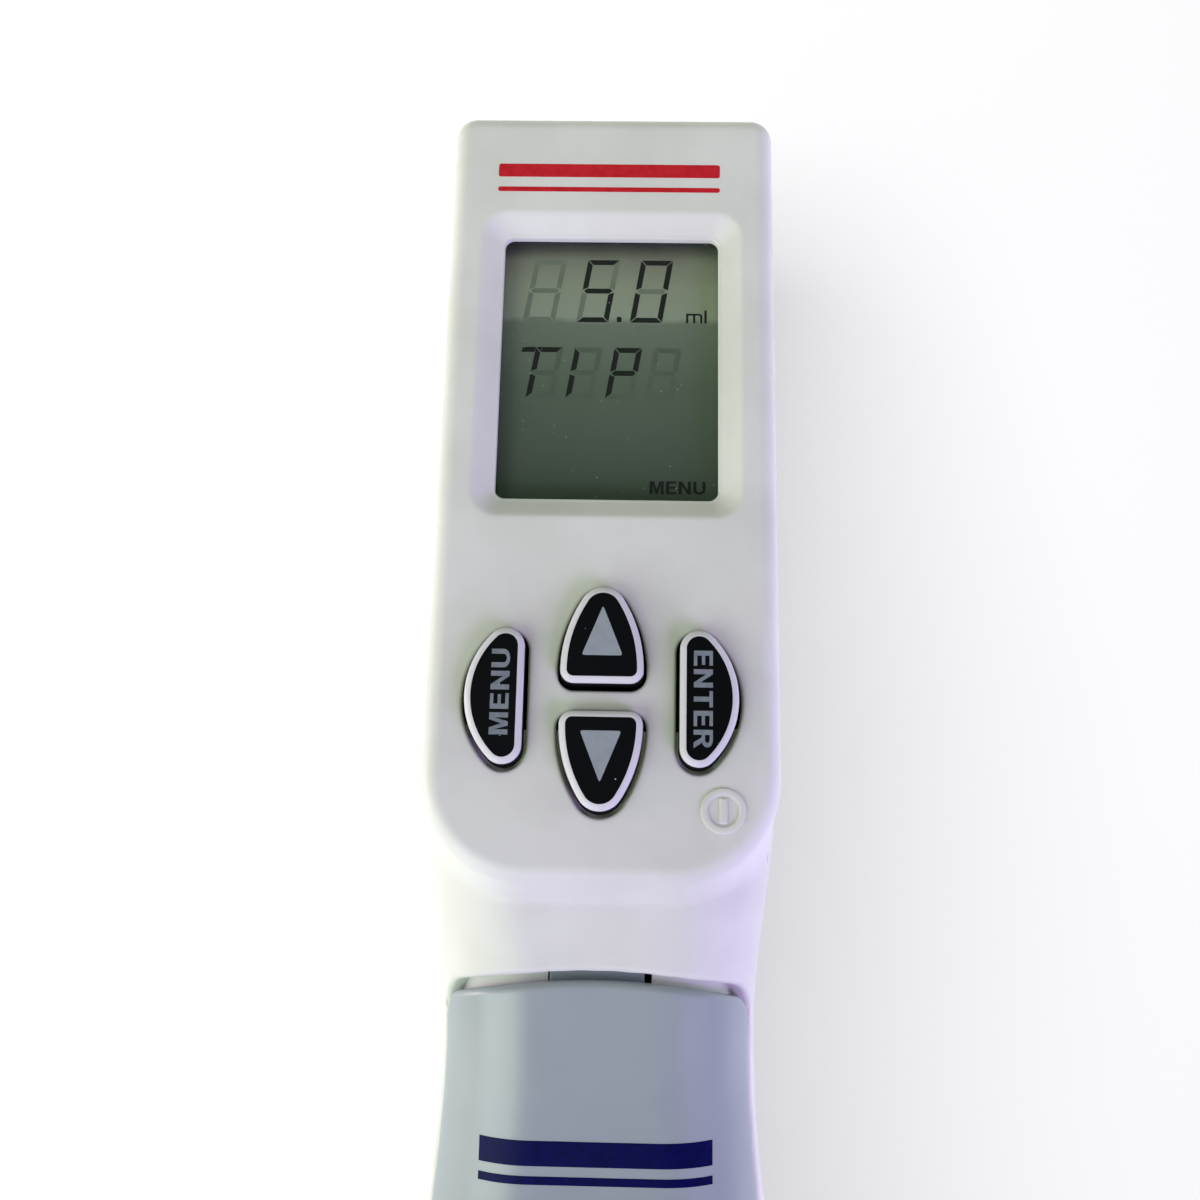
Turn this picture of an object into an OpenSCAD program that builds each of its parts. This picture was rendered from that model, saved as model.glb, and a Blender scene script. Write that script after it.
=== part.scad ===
// Repeating pipette: electronic hand-held dispenser with a leaning display head,
// a waisted grip, a lead-screw drive and a socket for syringe tips.
// Upright, +Z up, display towards -Y. The origin is the centre of the tip socket's mouth.

/* [Head] */
// Width of the display head
head_w = 44.6; // [44:0.2:50]
// Length of the display head along its face
head_l = 105.8; // [104:0.2:114]
// Thickness of the display head
head_t = 25; // [24:0.5:30]
// Lean of the face back from the vertical, in degrees
face_lean = 15; // [12:1:18]
// Radius of the head's top corners
top_corner_r = 3; // [3:0.5:8]
// Radius of the head's bottom corners
chin_corner_r = 13.5; // [10:0.5:15]
// Rounding along the edge of the face
face_edge_r = 2.5; // [1.5:0.5:3]
// Height of the key pad's datum on the face above the tip socket
face_z = 161.6; // [160:0.2:164]

/* [Display] */
// Width of the visible window
window_w = 29.2; // [26:0.2:30]
// Length of the visible window
window_l = 37.8; // [34:0.2:39]
// Depth of the sloped recess round the window
recess_d = 2.8; // [2.2:0.1:3.2]
// Width of the recess's sloped wall
recess_slope = 3; // [2:0.2:3.4]

/* [Keys] */
// Width of the arrow keys
arrow_key_w = 10.5; // [9:0.5:11.5]
// Length of the arrow keys
arrow_key_l = 12.3; // [11:0.1:12.5]
// Length of the half-moon keys' straight side
moon_key_l = 17.4; // [15:0.2:18]
// Width of the half-moon keys
moon_key_w = 7.5; // [6.5:0.1:7.6]
// Height of a key above the face
key_rise = 1.3; // [0.8:0.1:1.8]
// Travel of a key
key_travel = 0.8; // [0.4:0.1:0.8]

/* [Grip] */
// Width at the waist below the head
waist_w = 40.4; // [40:0.2:44]
// Width of the grip at its belly
belly_w = 48.8; // [48:0.2:52]
// Width of the grip at the tip end
nose_w = 36.4; // [36:0.2:40]
// Wall of the white housings
wall = 2.2; // [2:0.1:2.4]
// Wall of the battery cover
cover_wall = 1.8; // [1.5:0.1:1.9]
// Width of the slot between the neck's lip and the battery cover
lip_slot = 1.4; // [1.2:0.1:2]
// Opening angle of the battery cover, in degrees
cover_swing = 22; // [10:1:22]

/* [Drive] */
// Stroke of the piston drive
stroke = 38; // [20:1:38]
// Radius of the lead screw
screw_r = 2.5; // [2:0.1:2.6]
// Lead of the screw
screw_lead = 4; // [2:0.5:5]
// Radius of the push tube
tube_r = 5; // [4.6:0.1:5.2]
// Radius of the drive motor
motor_r = 9.5; // [8:0.5:9.5]
// Radius of a battery cell
cell_r = 5.25; // [5:0.05:5.25]
// Length of a battery cell without its stud
cell_l = 43.8; // [42:0.1:44]

/* [Tip holder] */
// Radius of the socket that takes the syringe tip's flange
socket_r = 12.6; // [11:0.1:12.8]
// Depth of that socket
socket_d = 8; // [6:0.5:8]
// Travel of the ejector
eject_travel = 6; // [4:0.5:6]
// Swing of a tip latch in degrees
latch_swing = 10; // [6:1:10]

/* [Finger controls] */
// Inner radius of the finger hook
hook_r = 11; // [9:0.5:11]
// Width of the finger hook
hook_w = 15; // [12:0.5:17]
// Thickness of the finger hook
hook_t = 3.6; // [3:0.2:4]
// Swing of the dispensing trigger in degrees
trigger_swing = 6; // [3:1:6]

/* [Hidden] */

white_plastic = "#d8dad6";
cover_grey = "#9ba3b0";
latch_grey = "#666f73";
key_black = "#141518";
steel = "#b9bcc0";
brass = "#c9a85a";
dark_plastic = "#3a3d42";
board_green = "#2f6b45";

fit = 0.05;        // radial clearance of a running fit
gap = 0.3;         // clearance between pieces that move past each other
eps = 0.02;        // overlap that joins two shapes of one piece

// Face frame: u to the right, v up the face, n out of the face.
face_y = -18;
head_v0 = -14;
head_v1 = head_v0 + head_l;
glass_w = window_w + 4.8;
glass_l = window_l + 4.8;
moon_key_x = head_w / 2 - 12.8;   // distance of a half-moon key's straight side from the middle
parting_n = -head_t / 2 - 0.5;
back_edge_r = 4;
well_grow = 0.7;    // a key's shallow well, wider than the key by this much all round
well_d = 0.3;
top_u = head_w / 2 - 0.3;

// Heights of the stations that shape the grip, and the values there.
skin_top = 190;
nose_z = 20;
belly_z = 74;
back_belly_z = 84;
waist_z = 128;
shoulder_z = 158;
WIDTHS = [[nose_z, nose_w / 2], [belly_z, belly_w / 2], [waist_z, waist_w / 2],
          [shoulder_z, head_w / 2 + 0.3], [skin_top, 19]];
FRONTS = [[nose_z, -16.6], [belly_z, -21.4], [134, -18.7], [shoulder_z, -18], [skin_top, 2]];
BACKS = [[nose_z, 15.6], [back_belly_z, 17.4], [148, 12.8], [skin_top, 14.6]];
section_r = 13;
skin_parts = 20;
corner_steps = 6;

// Battery cover: it fills an arched opening of the front housing, and hinges at its lower edge.
parting_y = -4.2;
lip_z = 137.1;
arch_r = 75;
opening_r = 6;
seam_angle = 70;    // where the cover's side seam lies, turned round the section's corner from its front
seam_back = section_r * (1 - cos(seam_angle));
opening_s = along(lip_z, WIDTHS) - section_r + section_r * seam_angle * PI / 180;   // half-length of the opening along the skin
cover_z0 = 24;
hinge_y = -13;
hinge_z = 25.8;
hinge_r = 1;
hinge_lug_r = 1.6;
// Top of the ring below the cover, clear of the cover's lower edge as it swings down.
ring_z1 = hinge_z - gap - (hinge_y - along(cover_z0, FRONTS)) * sin(cover_swing) - (hinge_z - cover_z0) * cos(cover_swing);
latch_w = 11.7;
latch_slot = [-latch_w / 2 - 0.1, latch_w / 2 + 0.9];
latch_y = along(lip_z, FRONTS) + cover_wall + fit;   // front of the cover's latch, against the cover's inside

// Drive column, from the socket upwards.
frame_z0 = 27;
frame_z1 = 112;
plate_t = 3;
frame_x = 15.8;
carriage_t = 8;
carriage_z = frame_z1 - plate_t - 3 - stroke - carriage_t;   // at rest, the stroke below the top plate
rod_x = 10;
rod_r = 1.5;
bearing_r = 4;
screw_z0 = carriage_z - 3;
thread_pitch = screw_lead / 2;   // the thread has two starts
motor_z0 = frame_z1 + 9;
motor_l = 19;
tube_z0 = frame_z0 - 10;
seat_y = 9.4;      // axis of the eject spring
seat_z = 48;

// Tip holder and ejector.
bore_r = 9.5;
holder_r = 16.4;
holder_neck_r = 13.2;
latch_pivot = [12.2, 19];
latch_pin_r = 0.8;
latch_tail_x = 10.8;
latch_tail_z = 26;
// Inner end of a latch's slot, clear of its tail as it swings in.
latch_slot_x0 = latch_tail_x - (latch_tail_z - latch_pivot[1]) * sin(latch_swing) - 1.2;
ring_z = 21;
ring_t = 2.5;

// Finger side.
trigger_pivot = [11.6, frame_z1 - 2];
trigger_pin_r = 1;
trigger_w = 12;
trigger_in_y = 13.4;
plunger_z = trigger_pivot[1] - 16;
// Tip of the switch's plunger, just touched by the trigger at the end of its swing.
plunger_y = trigger_in_y - (trigger_pivot[1] - plunger_z) * sin(trigger_swing) - gap;
hook_seat_y = 15;
hook_y = hook_seat_y + 0.6 + hook_r;
hook_z = 121;
hook_reach_z = 116.5;
hook_screw_z = [hook_z + 7, hook_z + 15];

battery_y = -11.9;
battery_z = 54;
battery_pitch = 2 * cell_r + 0.7;
plug_r = 1.8;
plug_d = 11;
jack_v = head_v1 - 24.5;
head_screws = [for (s = [-1, 1]) [s * (head_w / 2 - 7.3), head_v1 - 6.5]];
neck_screw_x = 12;
neck_screw_z = 147;
neck_back = along(neck_screw_z, BACKS);
// Places of the keys on the face.
up_v = 10.4;
down_v = 7;
moon_v = 8.7;
// The window lies midway between the key pad and the head's screws.
window_v = (up_v + arrow_key_l + head_screws[0][1]) / 2 + 0.6;
board_v0 = -5;
board_v1 = window_v + 27.7;
board_w = head_w - 8.6;
board_holes = [[2.5 - board_w / 2, window_v - 24.8], [board_w / 2 - 2.5, window_v - 24.8], [0, board_v1 - 2.8]];
board_n = -9;
board_t = 1.6;

function ease(t) = (1 - cos(180 * min(max(t, 0), 1))) / 2;
// Smooth value at height z between the stations of a list.
function along(z, list, i = 0) =
    z <= list[0][0] ? list[0][1] :
    i >= len(list) - 1 ? list[i][1] :
    z <= list[i + 1][0]
        ? list[i][1] + (list[i + 1][1] - list[i][1]) * ease((z - list[i][0]) / (list[i + 1][0] - list[i][0]))
        : along(z, list, i + 1);
function arc(cx, cy, r, a0, a1, n) = [for (i = [0:n]) let (a = a0 + (a1 - a0) * i / n) [cx + r * cos(a), cy + r * sin(a)]];

module on_face() translate([0, face_y, face_z]) rotate([90 - face_lean, 0, 0]) children();
// Shape drawn in (y, z), centred on the middle plane and w wide.
module side_plate(w) translate([-w / 2, 0, 0]) rotate([90, 0, 90]) linear_extrude(w) children();
module box(x0, x1, y0, y1, z0, z1) translate([x0, y0, z0]) cube([x1 - x0, y1 - y0, z1 - z0]);
module rod(r, z0, z1, fn = 48) translate([0, 0, z0]) cylinder(r = r, h = z1 - z0, $fn = fn);
module rounded(w, l, r) union() {
    square([w - 2 * r, l], center = true);
    square([w, l - 2 * r], center = true);
    for (x = [-1, 1], y = [-1, 1]) translate([x * (w / 2 - r), y * (l / 2 - r)]) circle(r = r, $fn = 32);
}

// ---- outer form ---------------------------------------------------------------

// One corner of the head, rounded towards the face and towards the back.
module corner_puck(r, front_n, back_n, front_r, back_r)
    rotate_extrude($fn = 32) polygon(concat(
        [[0, back_n]], arc(r - min(back_r, r), back_n + min(back_r, r), min(back_r, r), -90, 0, 4),
        arc(r - min(front_r, r), front_n - min(front_r, r), min(front_r, r), 0, 90, 5), [[0, front_n]]));

// Head slab, drawn in by inset all round.
module head_solid(inset, front_n) on_face() hull() for (s = [-1, 1]) {
    translate([s * (top_u - top_corner_r), head_v1 - top_corner_r, 0])
        corner_puck(top_corner_r - inset, front_n, -head_t + inset, max(face_edge_r - inset, 0.4), back_edge_r - inset);
    translate([s * (head_w / 2 - chin_corner_r), head_v0 + chin_corner_r, 0])
        corner_puck(chin_corner_r - inset, front_n, -head_t + inset, max(face_edge_r - inset, 0.4), back_edge_r - inset);
}

// Outline of the grip at height z, drawn in by inset: a rectangle with round corners.
function grip_ring(z, inset) =
    let (a = along(z, WIDTHS) - inset,
         y0 = along(z, FRONTS) + inset,
         y1 = along(z, BACKS) - inset,
         r = min(section_r - inset, (y1 - y0) / 2 - 0.5),
         corners = [[a - r, y1 - r, 0], [r - a, y1 - r, 90], [r - a, y0 + r, 180], [a - r, y0 + r, 270]])
    [for (c = corners) each [for (p = arc(c[0], c[1], r, c[2], c[2] + 90, corner_steps)) [p[0], p[1], z]]];

// The grip as one skin through its outlines, from height z0 up into the head.
module grip_solid(inset, z0) {
    heights = concat([z0], [for (i = [1:skin_parts]) nose_z + i * (skin_top - nose_z) / skin_parts]);
    m = 4 * (corner_steps + 1);
    n = len(heights);
    polyhedron(
        points = [for (z = heights) each grip_ring(z, inset)],
        faces = concat(
            [[for (j = [0:m - 1]) j]],
            [for (i = [0:n - 2], j = [0:m - 1]) let (k = (j + 1) % m)
                each [[i * m + j, (i + 1) * m + j, (i + 1) * m + k], [i * m + j, (i + 1) * m + k, i * m + k]]],
            [[for (j = [0:m - 1]) n * m - 1 - j]]),
        convexity = 6);
}

module shell(t) difference() {
    union() {
        head_solid(0, 0);
        grip_solid(0, nose_z);
    }
    head_solid(t, -recess_d);
    grip_solid(t, nose_z - 1);
}

// Everything in front of the parting line of the two housings.
module front_side(shift) side_plate(120) polygon([
    [-80, -10], [parting_y - shift, -10], [parting_y - shift, 140],
    [face_y - parting_n * cos(face_lean) - shift, face_z + parting_n * sin(face_lean)],
    [face_y - parting_n * cos(face_lean) + 2 * head_l * sin(face_lean) - shift,
     face_z + parting_n * sin(face_lean) + 2 * head_l * cos(face_lean)],
    [-80, face_z + 2 * head_l]]);

// Height of the opening's arched edge at the distance s along the skin from its middle, drawn in by shift at the sides.
function opening_z(s, shift) = let (over = max(0, abs(s) - (opening_s - shift - opening_r)))
    lip_z - s * s / (2 * arch_r) - (opening_r - sqrt(max(0, opening_r * opening_r - over * over)));
// Distance from the middle plane of the skin's point at the distance s along it.
function skin_x(s) = let (flat = along(lip_z, WIDTHS) - section_r)
    abs(s) < flat ? s : sign(s) * (flat + section_r * sin((abs(s) - flat) / section_r * 180 / PI));
// Space of the battery cover, below the arched edge and in front of the side seams.
module opening(drop, shift) intersection() {
    rotate([90, 0, 0]) linear_extrude(120, center = true) polygon(concat(
        [[-60, -20], [-60, opening_z(opening_s - shift, shift) - drop]],
        [for (i = [-12:12]) let (s = (opening_s - shift) * i / 12) [skin_x(s), opening_z(s, shift) - drop]],
        [[60, opening_z(opening_s - shift, shift) - drop], [60, -20]]));
    side_plate(120) polygon(concat(
        [[-80, 0], [along(nose_z, FRONTS) + seam_back - shift - 1, 0]],
        [for (z = [24:4:144]) [along(z, FRONTS) + seam_back - shift * (1 + 0.7 * max(0, 28 - z)), z]],
        [[-80, 144]]));
}

// ---- housings -----------------------------------------------------------------

module recess_cut() union() {
    hull() {
        translate([0, window_v, 0]) linear_extrude(1) rounded(window_w + 2 * recess_slope, window_l + 2 * recess_slope, 3.5);
        translate([0, window_v, -recess_d]) linear_extrude(eps) rounded(window_w, window_l, 1.3);
    }
    translate([0, window_v, -recess_d - 1]) linear_extrude(1.5) rounded(window_w, window_l, 1.3);
}

module arrow_key_2d(grow) {
    bend_r = 16.1;
    round_r = 1.1;
    offset(r = grow, $fn = 24) offset(r = round_r, $fn = 24) offset(delta = -round_r) intersection() {
        translate([arrow_key_w / 2 - bend_r, 1.1]) circle(r = bend_r, $fn = 72);
        translate([bend_r - arrow_key_w / 2, 1.1]) circle(r = bend_r, $fn = 72);
        translate([-arrow_key_w / 2, 0]) square([arrow_key_w, arrow_key_l + 0.6]);
    }
}
module moon_key_2d(grow) {
    bend_r = (pow(moon_key_l / 2, 2) + pow(moon_key_w, 2)) / (2 * moon_key_w);
    offset(r = grow, $fn = 24) offset(r = 1.1, $fn = 24) offset(delta = -1.1) intersection() {
        translate([moon_key_w - bend_r, 0]) circle(r = bend_r, $fn = 60);
        translate([0, -moon_key_l / 2]) square([moon_key_w, moon_key_l]);
    }
}
module key_2d(kind, grow) {
    if (kind == "up") translate([0, up_v]) arrow_key_2d(grow);
    if (kind == "down") translate([0, down_v]) mirror([0, 1]) arrow_key_2d(grow);
    if (kind == "enter") translate([moon_key_x, moon_v]) moon_key_2d(grow);
    if (kind == "menu") translate([-moon_key_x, moon_v]) mirror([1, 0]) moon_key_2d(grow);
}
KEYS = ["up", "down", "menu", "enter"];

module power_mark() translate([15.1, -4.8, -eps]) {
    difference() {
        cylinder(r = 2.75, h = 0.4, $fn = 40);
        translate([0, 0, -1]) cylinder(r = 1.82, h = 3, $fn = 40);
    }
    translate([-0.5, -1.5, 0]) cube([1, 3, 0.4]);
}

// Screw boss between two heights, with a web that braces it along its own length.
module boss(r, hole_r, n0, n1, web) difference() {
    hull() {
        translate([0, 0, n0]) cylinder(r = r, h = n1 - n0, $fn = 24);
        translate([-web / 2, -0.6, n1 - 2]) cube([web, 1.2, 2]);
    }
    translate([0, 0, n0 - 1]) cylinder(r = hole_r, h = n1 - n0 - 0.5, $fn = 24);
}

// Places a shape drawn along +Z on the axes of the two neck screws, along +Y.
module at_neck_screws() for (s = [-1, 1]) translate([s * neck_screw_x, 0, neck_screw_z]) rotate([-90, 0, 0]) children();

module front_housing() color(white_plastic) union() {
    difference() {
        intersection() {
            shell(wall);
            front_side(0);
        }
        opening(0, 0);
        box(-60, 60, -60, 60, -20, ring_z1 + gap);
        on_face() {
            recess_cut();
            for (k = KEYS) {
                translate([0, 0, -recess_d - 1]) linear_extrude(recess_d + 2) key_2d(k, 0.35);
                translate([0, 0, -well_d]) linear_extrude(1) key_2d(k, well_grow);
            }
        }
    }
    // Inner wall seen through the slot, with a notch for the cover's latch.
    difference() {
        intersection() {
            difference() {
                grip_solid(cover_wall + 0.2, nose_z);
                grip_solid(cover_wall + 1.6, nose_z - 1);
            }
            front_side(1.5);
            box(-30, 30, -30, 0, lip_z - 13, lip_z + 4);
        }
        box(latch_slot[0], latch_slot[1], -30, -10, lip_z - 30, lip_z + 1);
    }
    on_face() {
        power_mark();
        for (p = board_holes) translate([p[0], p[1], board_n]) difference() {
            cylinder(r = 2.2, h = -board_n - recess_d + 0.1, $fn = 24);
            translate([0, 0, -1]) cylinder(r = 0.95, h = 6, $fn = 24);
        }
        for (p = head_screws) translate([p[0], p[1], 0]) boss(3, 1.2, parting_n + 0.1, -recess_d + 0.2, 8);
    }
    at_neck_screws() difference() {
        rod(3, along(neck_screw_z, FRONTS) + wall - 0.6, parting_y, 24);
        rod(1.2, parting_y - 7, parting_y + 1, 24);
    }
}

module rear_housing() color(white_plastic) union() {
    difference() {
        union() {
            shell(wall);
            box(-hook_w / 2, hook_w / 2, 11.8, hook_seat_y, hook_z - 2, hook_z + 19);
        }
        difference() {
            front_side(-0.1);
            box(-60, 60, -60, 60, -20, ring_z1);
        }
        // Windows for the trigger and the eject key, and the hole for the jack.
        box(-trigger_w / 2 - 0.4, trigger_w / 2 + 0.4, 9, 30, trigger_pivot[1] - 19.8, trigger_pivot[1] + 3.2);
        box(-3.6, 3.6, 9, 30, 44.4, 62);
        on_face() translate([0, jack_v, -head_t - 1]) cylinder(r = 3.2, h = 5, $fn = 32);
        on_face() for (p = head_screws) translate([p[0], p[1], -head_t - 1]) {
            cylinder(r = 2.4, h = 3.2, $fn = 24);
            cylinder(r = 1.25, h = 8, $fn = 24);
        }
        for (z = hook_screw_z) translate([0, 9, z]) rotate([-90, 0, 0]) cylinder(r = 1.25, h = 9, $fn = 24);
        at_neck_screws() {
            rod(1.2, 5, neck_back + 2, 24);
            rod(2.4, neck_back - 1.5, neck_back + 2, 24);
        }
    }
    on_face() for (p = head_screws) translate([p[0], p[1], 0]) mirror([0, 0, 1]) difference() {
        boss(3, 1.2, -parting_n, head_t - wall + 0.2, 8);
        translate([0, 0, -parting_n - 1]) cylinder(r = 1.2, h = head_t, $fn = 24);
        translate([0, 0, head_t - wall]) cylinder(r = 2.4, h = wall, $fn = 24);
    }
    at_neck_screws() difference() {
        rod(3, parting_y + 0.2, neck_back - wall, 24);
        rod(1.2, parting_y - 1, neck_back + 1, 24);
    }
}

module front_cover() color(cover_grey) union() {
    intersection() {
        difference() {
            grip_solid(0, nose_z);
            grip_solid(cover_wall, nose_z - 1);
        }
        opening(lip_slot, gap);
        box(-60, 60, -60, 60, cover_z0, lip_z);
    }
    for (s = [-1, 1]) difference() {
        hull() {
            translate([s * 3.5 - 1, hinge_y, hinge_z]) rotate([0, 90, 0]) cylinder(r = hinge_lug_r, h = 2, $fn = 32);
            box(s * 3.5 - 1, s * 3.5 + 1, -15.7, -15, hinge_z - 1.5, hinge_z + 3);
        }
        translate([s * 3.5 - 2, hinge_y, hinge_z]) rotate([0, 90, 0]) cylinder(r = hinge_r + fit, h = 4, $fn = 48);
    }
}

module cover_latch() color(latch_grey) union() {
    box(-latch_w / 2, latch_w / 2, latch_y, latch_y + 1.5, lip_z - 13, lip_z - 1.1);
    box(-latch_w / 2 + 2, latch_w / 2 - 2, latch_y, latch_y + 2.3, lip_z - 18, lip_z - 10);
}

module cover_hinge_pin() color(steel)
    translate([-4.5, hinge_y, hinge_z]) rotate([0, 90, 0]) cylinder(r = hinge_r, h = 9, $fn = 48);

// One housing screw along its own axis, its head's underside at z = 0.
module housing_screw(l) {
    rod(1.15, 0, l, 32);
    difference() {
        rod(2.3, -1.3, 0, 32);
        rod(1, -2, -0.5, 6);
    }
}
module housing_screws() color(steel) union() {
    on_face() for (p = head_screws) translate([p[0], p[1], -head_t + 2.2]) housing_screw(head_t + parting_n + 3);
    for (s = [-1, 1]) translate([s * neck_screw_x, neck_back - 1.5, neck_screw_z]) rotate([90, 0, 0])
        housing_screw(neck_back - parting_y + 4);
}

// ---- display and keys ---------------------------------------------------------

window_n = -recess_d - 0.05;
lcd_n = window_n - 1.7;
module plate(w, l, r, n0, n1) translate([0, window_v, n0]) linear_extrude(n1 - n0) rounded(w, l, r);

module display_window() color("#9aa09a", 0.5) on_face() plate(glass_w, glass_l, 2, window_n - 1, window_n);
module window_gasket() color(dark_plastic) on_face() difference() {
    plate(glass_w, glass_l, 2, window_n - 1.6, window_n - 1);
    plate(glass_w - 4, glass_l - 4, 1, window_n - 2, window_n);
}
module lcd_panel() color("#5c675c") on_face() plate(glass_w - 2.4, glass_l - 1.6, 0.6, lcd_n - 2, lcd_n);
module lcd_frame() color(dark_plastic) on_face() difference() {
    plate(glass_w, glass_l + 0.8, 1.5, board_n, lcd_n);
    plate(glass_w - 2.2, glass_l - 1.4, 0.6, lcd_n - 2.05, lcd_n + 1);
    plate(glass_w - 7, glass_l - 6.6, 0.6, board_n - 1, lcd_n);
}

module key(kind) color(key_black) on_face() union() {
    translate([0, 0, -4.9]) linear_extrude(4.9 + key_rise - 0.4) key_2d(kind, 0);
    translate([0, 0, key_rise - 0.42]) linear_extrude(0.42) key_2d(kind, -0.35);
    translate([0, 0, -recess_d - 1]) linear_extrude(0.8) key_2d(kind, 1);
    key_at(kind) rod(2, -5.3, -4.8, 32);
}
module key_at(kind) {
    p = kind == "up" ? [0, up_v + 4.6] : kind == "down" ? [0, down_v - 4.6] :
        [(kind == "menu" ? -1 : 1) * (moon_key_x + 3.3), moon_v];
    translate([p[0], p[1], 0]) children();
}
module key_up() key("up");
module key_down() key("down");
module key_menu() key("menu");
module key_enter() key("enter");
module key_switches() color(steel) on_face() for (k = KEYS) key_at(k) union() {
    translate([-2.5, -2.5, board_n]) cube([5, 5, 1.6]);
    rod(1.4, board_n + 1.5, -5.4 - key_travel, 32);
}
module main_board() color(board_green) on_face() difference() {
    translate([-board_w / 2, board_v0, board_n - board_t]) cube([board_w, board_v1 - board_v0, board_t]);
    for (p = board_holes) translate([p[0], p[1], 0]) rod(1.2, board_n - 5, board_n + 1, 32);
    for (p = head_screws) translate([p[0], p[1], 0]) rod(3.4, board_n - 5, board_n + 1, 32);
}
module board_screws() color(steel) on_face() for (p = board_holes) translate([p[0], p[1], 0]) union() {
    rod(0.9, board_n - board_t - 0.1, board_n + 4, 32);
    rod(1.9, board_n - board_t - 1.2, board_n - board_t, 32);
}
module board_parts() color(dark_plastic) on_face() translate([0, 0, board_n - board_t]) {
    translate([-6, 8, -1.6]) cube([12, 12, 1.6]);
    translate([3 - board_w / 2, window_v - 18.6, -1.2]) cube([8, 6, 1.2]);
    translate([3, window_v - 20.6, -2.4]) cube([9, 4, 2.4]);
    translate([-14, window_v - 3, -1.2]) cube([5, 10, 1.2]);
}
module beeper() color(key_black) on_face() translate([9.5, window_v - 4.6, 0]) difference() {
    rod(6, board_n - board_t - 3.4, board_n - board_t, 48);
    rod(1, board_n - board_t - 5, board_n - board_t - 1, 32);
}
module charging_jack() color(dark_plastic) on_face() translate([0, jack_v, 0]) difference() {
    union() {
        rod(3, -head_t, -head_t + 3, 48);
        translate([-4.5, -4, -head_t + wall]) cube([9, 8, head_t - wall + board_n - board_t]);
    }
    rod(plug_r, -head_t - 1, -head_t + plug_d, 48);
}

// ---- drive --------------------------------------------------------------------

module drive_frame() color(dark_plastic) difference() {
    union() {
        box(-frame_x, frame_x, -4.5, 9, frame_z1 - plate_t - 1, frame_z1);
        intersection() {
            box(-frame_x, frame_x, -8, 9, frame_z0, frame_z0 + plate_t);
            rod(16, frame_z0, frame_z0 + plate_t);
        }
        for (s = [-1, 1]) translate([s * (frame_x - 0.8), 0, 0]) side_plate(1.6) polygon([
            [-4.5, frame_z0], [4.4, frame_z0], [4.4, frame_z0 + 5], [8.6, frame_z0 + 15], [8.6, frame_z1], [-4.5, frame_z1]]);
        box(-frame_x, frame_x, 7.4, 11.3, seat_z - 2, seat_z);
        box(-frame_x, frame_x, 6.7, 8.6, plunger_z + 5, plunger_z + 7);
        for (s = [-1, 1]) translate([s * 8.1, 0, 0]) box(-1, 1, 8, 13.6, frame_z1 - 4, frame_z1);
        box(-2.2, 2.2, hinge_y, -7, frame_z0, frame_z0 + plate_t);
        box(-2.2, 2.2, hinge_y, hinge_y + 1.4, hinge_z, frame_z0 + plate_t);
        translate([-2.2, hinge_y, hinge_z]) rotate([0, 90, 0]) cylinder(r = hinge_lug_r, h = 4.4, $fn = 48);
    }
    rod(tube_r + fit, 0, frame_z0 + plate_t + 1);
    rod(bearing_r, frame_z1 - 3, frame_z1 + 1);
    rod(2.6, frame_z1 - 6, frame_z1);
    for (s = [-1, 1]) translate([s * rod_x, 0, 0]) rod(rod_r, frame_z0 + 1, frame_z1 - 1);
    translate([-20, trigger_pivot[0], trigger_pivot[1]]) rotate([0, 90, 0]) cylinder(r = trigger_pin_r, h = 40, $fn = 48);
    translate([-5, hinge_y, hinge_z]) rotate([0, 90, 0]) cylinder(r = hinge_r, h = 10, $fn = 48);
}
module guide_rods() color(steel) for (s = [-1, 1]) translate([s * rod_x, 0, 0]) rod(rod_r, frame_z0 + 1, frame_z1 - 1);
module screw_bearing() color(steel) difference() {
    rod(bearing_r, frame_z1 - 3, frame_z1);
    rod(1.5 + 0.02, frame_z1 - 4, frame_z1 + 1);
}
module lead_screw() color(steel) rotate_extrude($fn = 64) polygon(concat(
    [[0, screw_z0], [screw_r - 0.5, screw_z0]],
    [for (i = [0:floor((frame_z1 - 5 - screw_z0) / thread_pitch) - 1]) let (z = screw_z0 + thread_pitch * (i + 0.25))
        each [[screw_r - 0.5, z], [screw_r, z + thread_pitch / 4], [screw_r, z + thread_pitch / 2],
              [screw_r - 0.5, z + 0.75 * thread_pitch]]],
    [[1.5, frame_z1 - 5], [1.5, frame_z1 + 4], [0, frame_z1 + 4]]));
module shaft_coupling() color(brass) difference() {
    rod(3.4, frame_z1 + 1, frame_z1 + 7);
    rod(1.5, frame_z1, frame_z1 + 4);
    rod(1, frame_z1, frame_z1 + 8);
}
module motor() color(steel) union() {
    rod(motor_r, motor_z0, motor_z0 + motor_l, 64);
    rod(3, motor_z0 - 1, motor_z0 + 1);
    rod(1 - fit, frame_z1 + 4.2, motor_z0);
}
module motor_posts() color(brass) for (s = [-1, 1]) translate([s * 7.6, 0, 0]) rod(1.5, frame_z1, motor_z0, 32);
module carriage() color(dark_plastic) difference() {
    union() {
        box(-rod_x, rod_x, -4.4, 6, carriage_z, carriage_z + carriage_t);
        for (s = [-1, 1]) translate([s * rod_x, 0, 0]) rod(3.2, carriage_z, carriage_z + carriage_t);
    }
    rod(4.2, carriage_z - 1, carriage_z + carriage_t + 1);
    for (s = [-1, 1]) translate([s * rod_x, 0, 0]) rod(rod_r + fit, carriage_z - 1, carriage_z + carriage_t + 1);
}
module drive_nut() color(brass) difference() {
    union() {
        rod(4.2, carriage_z - 1, carriage_z + carriage_t);
        rod(tube_r, carriage_z - 2.5, carriage_z);
    }
    rod(screw_r + fit, carriage_z - 4, carriage_z + carriage_t + 1, 64);
}
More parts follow.
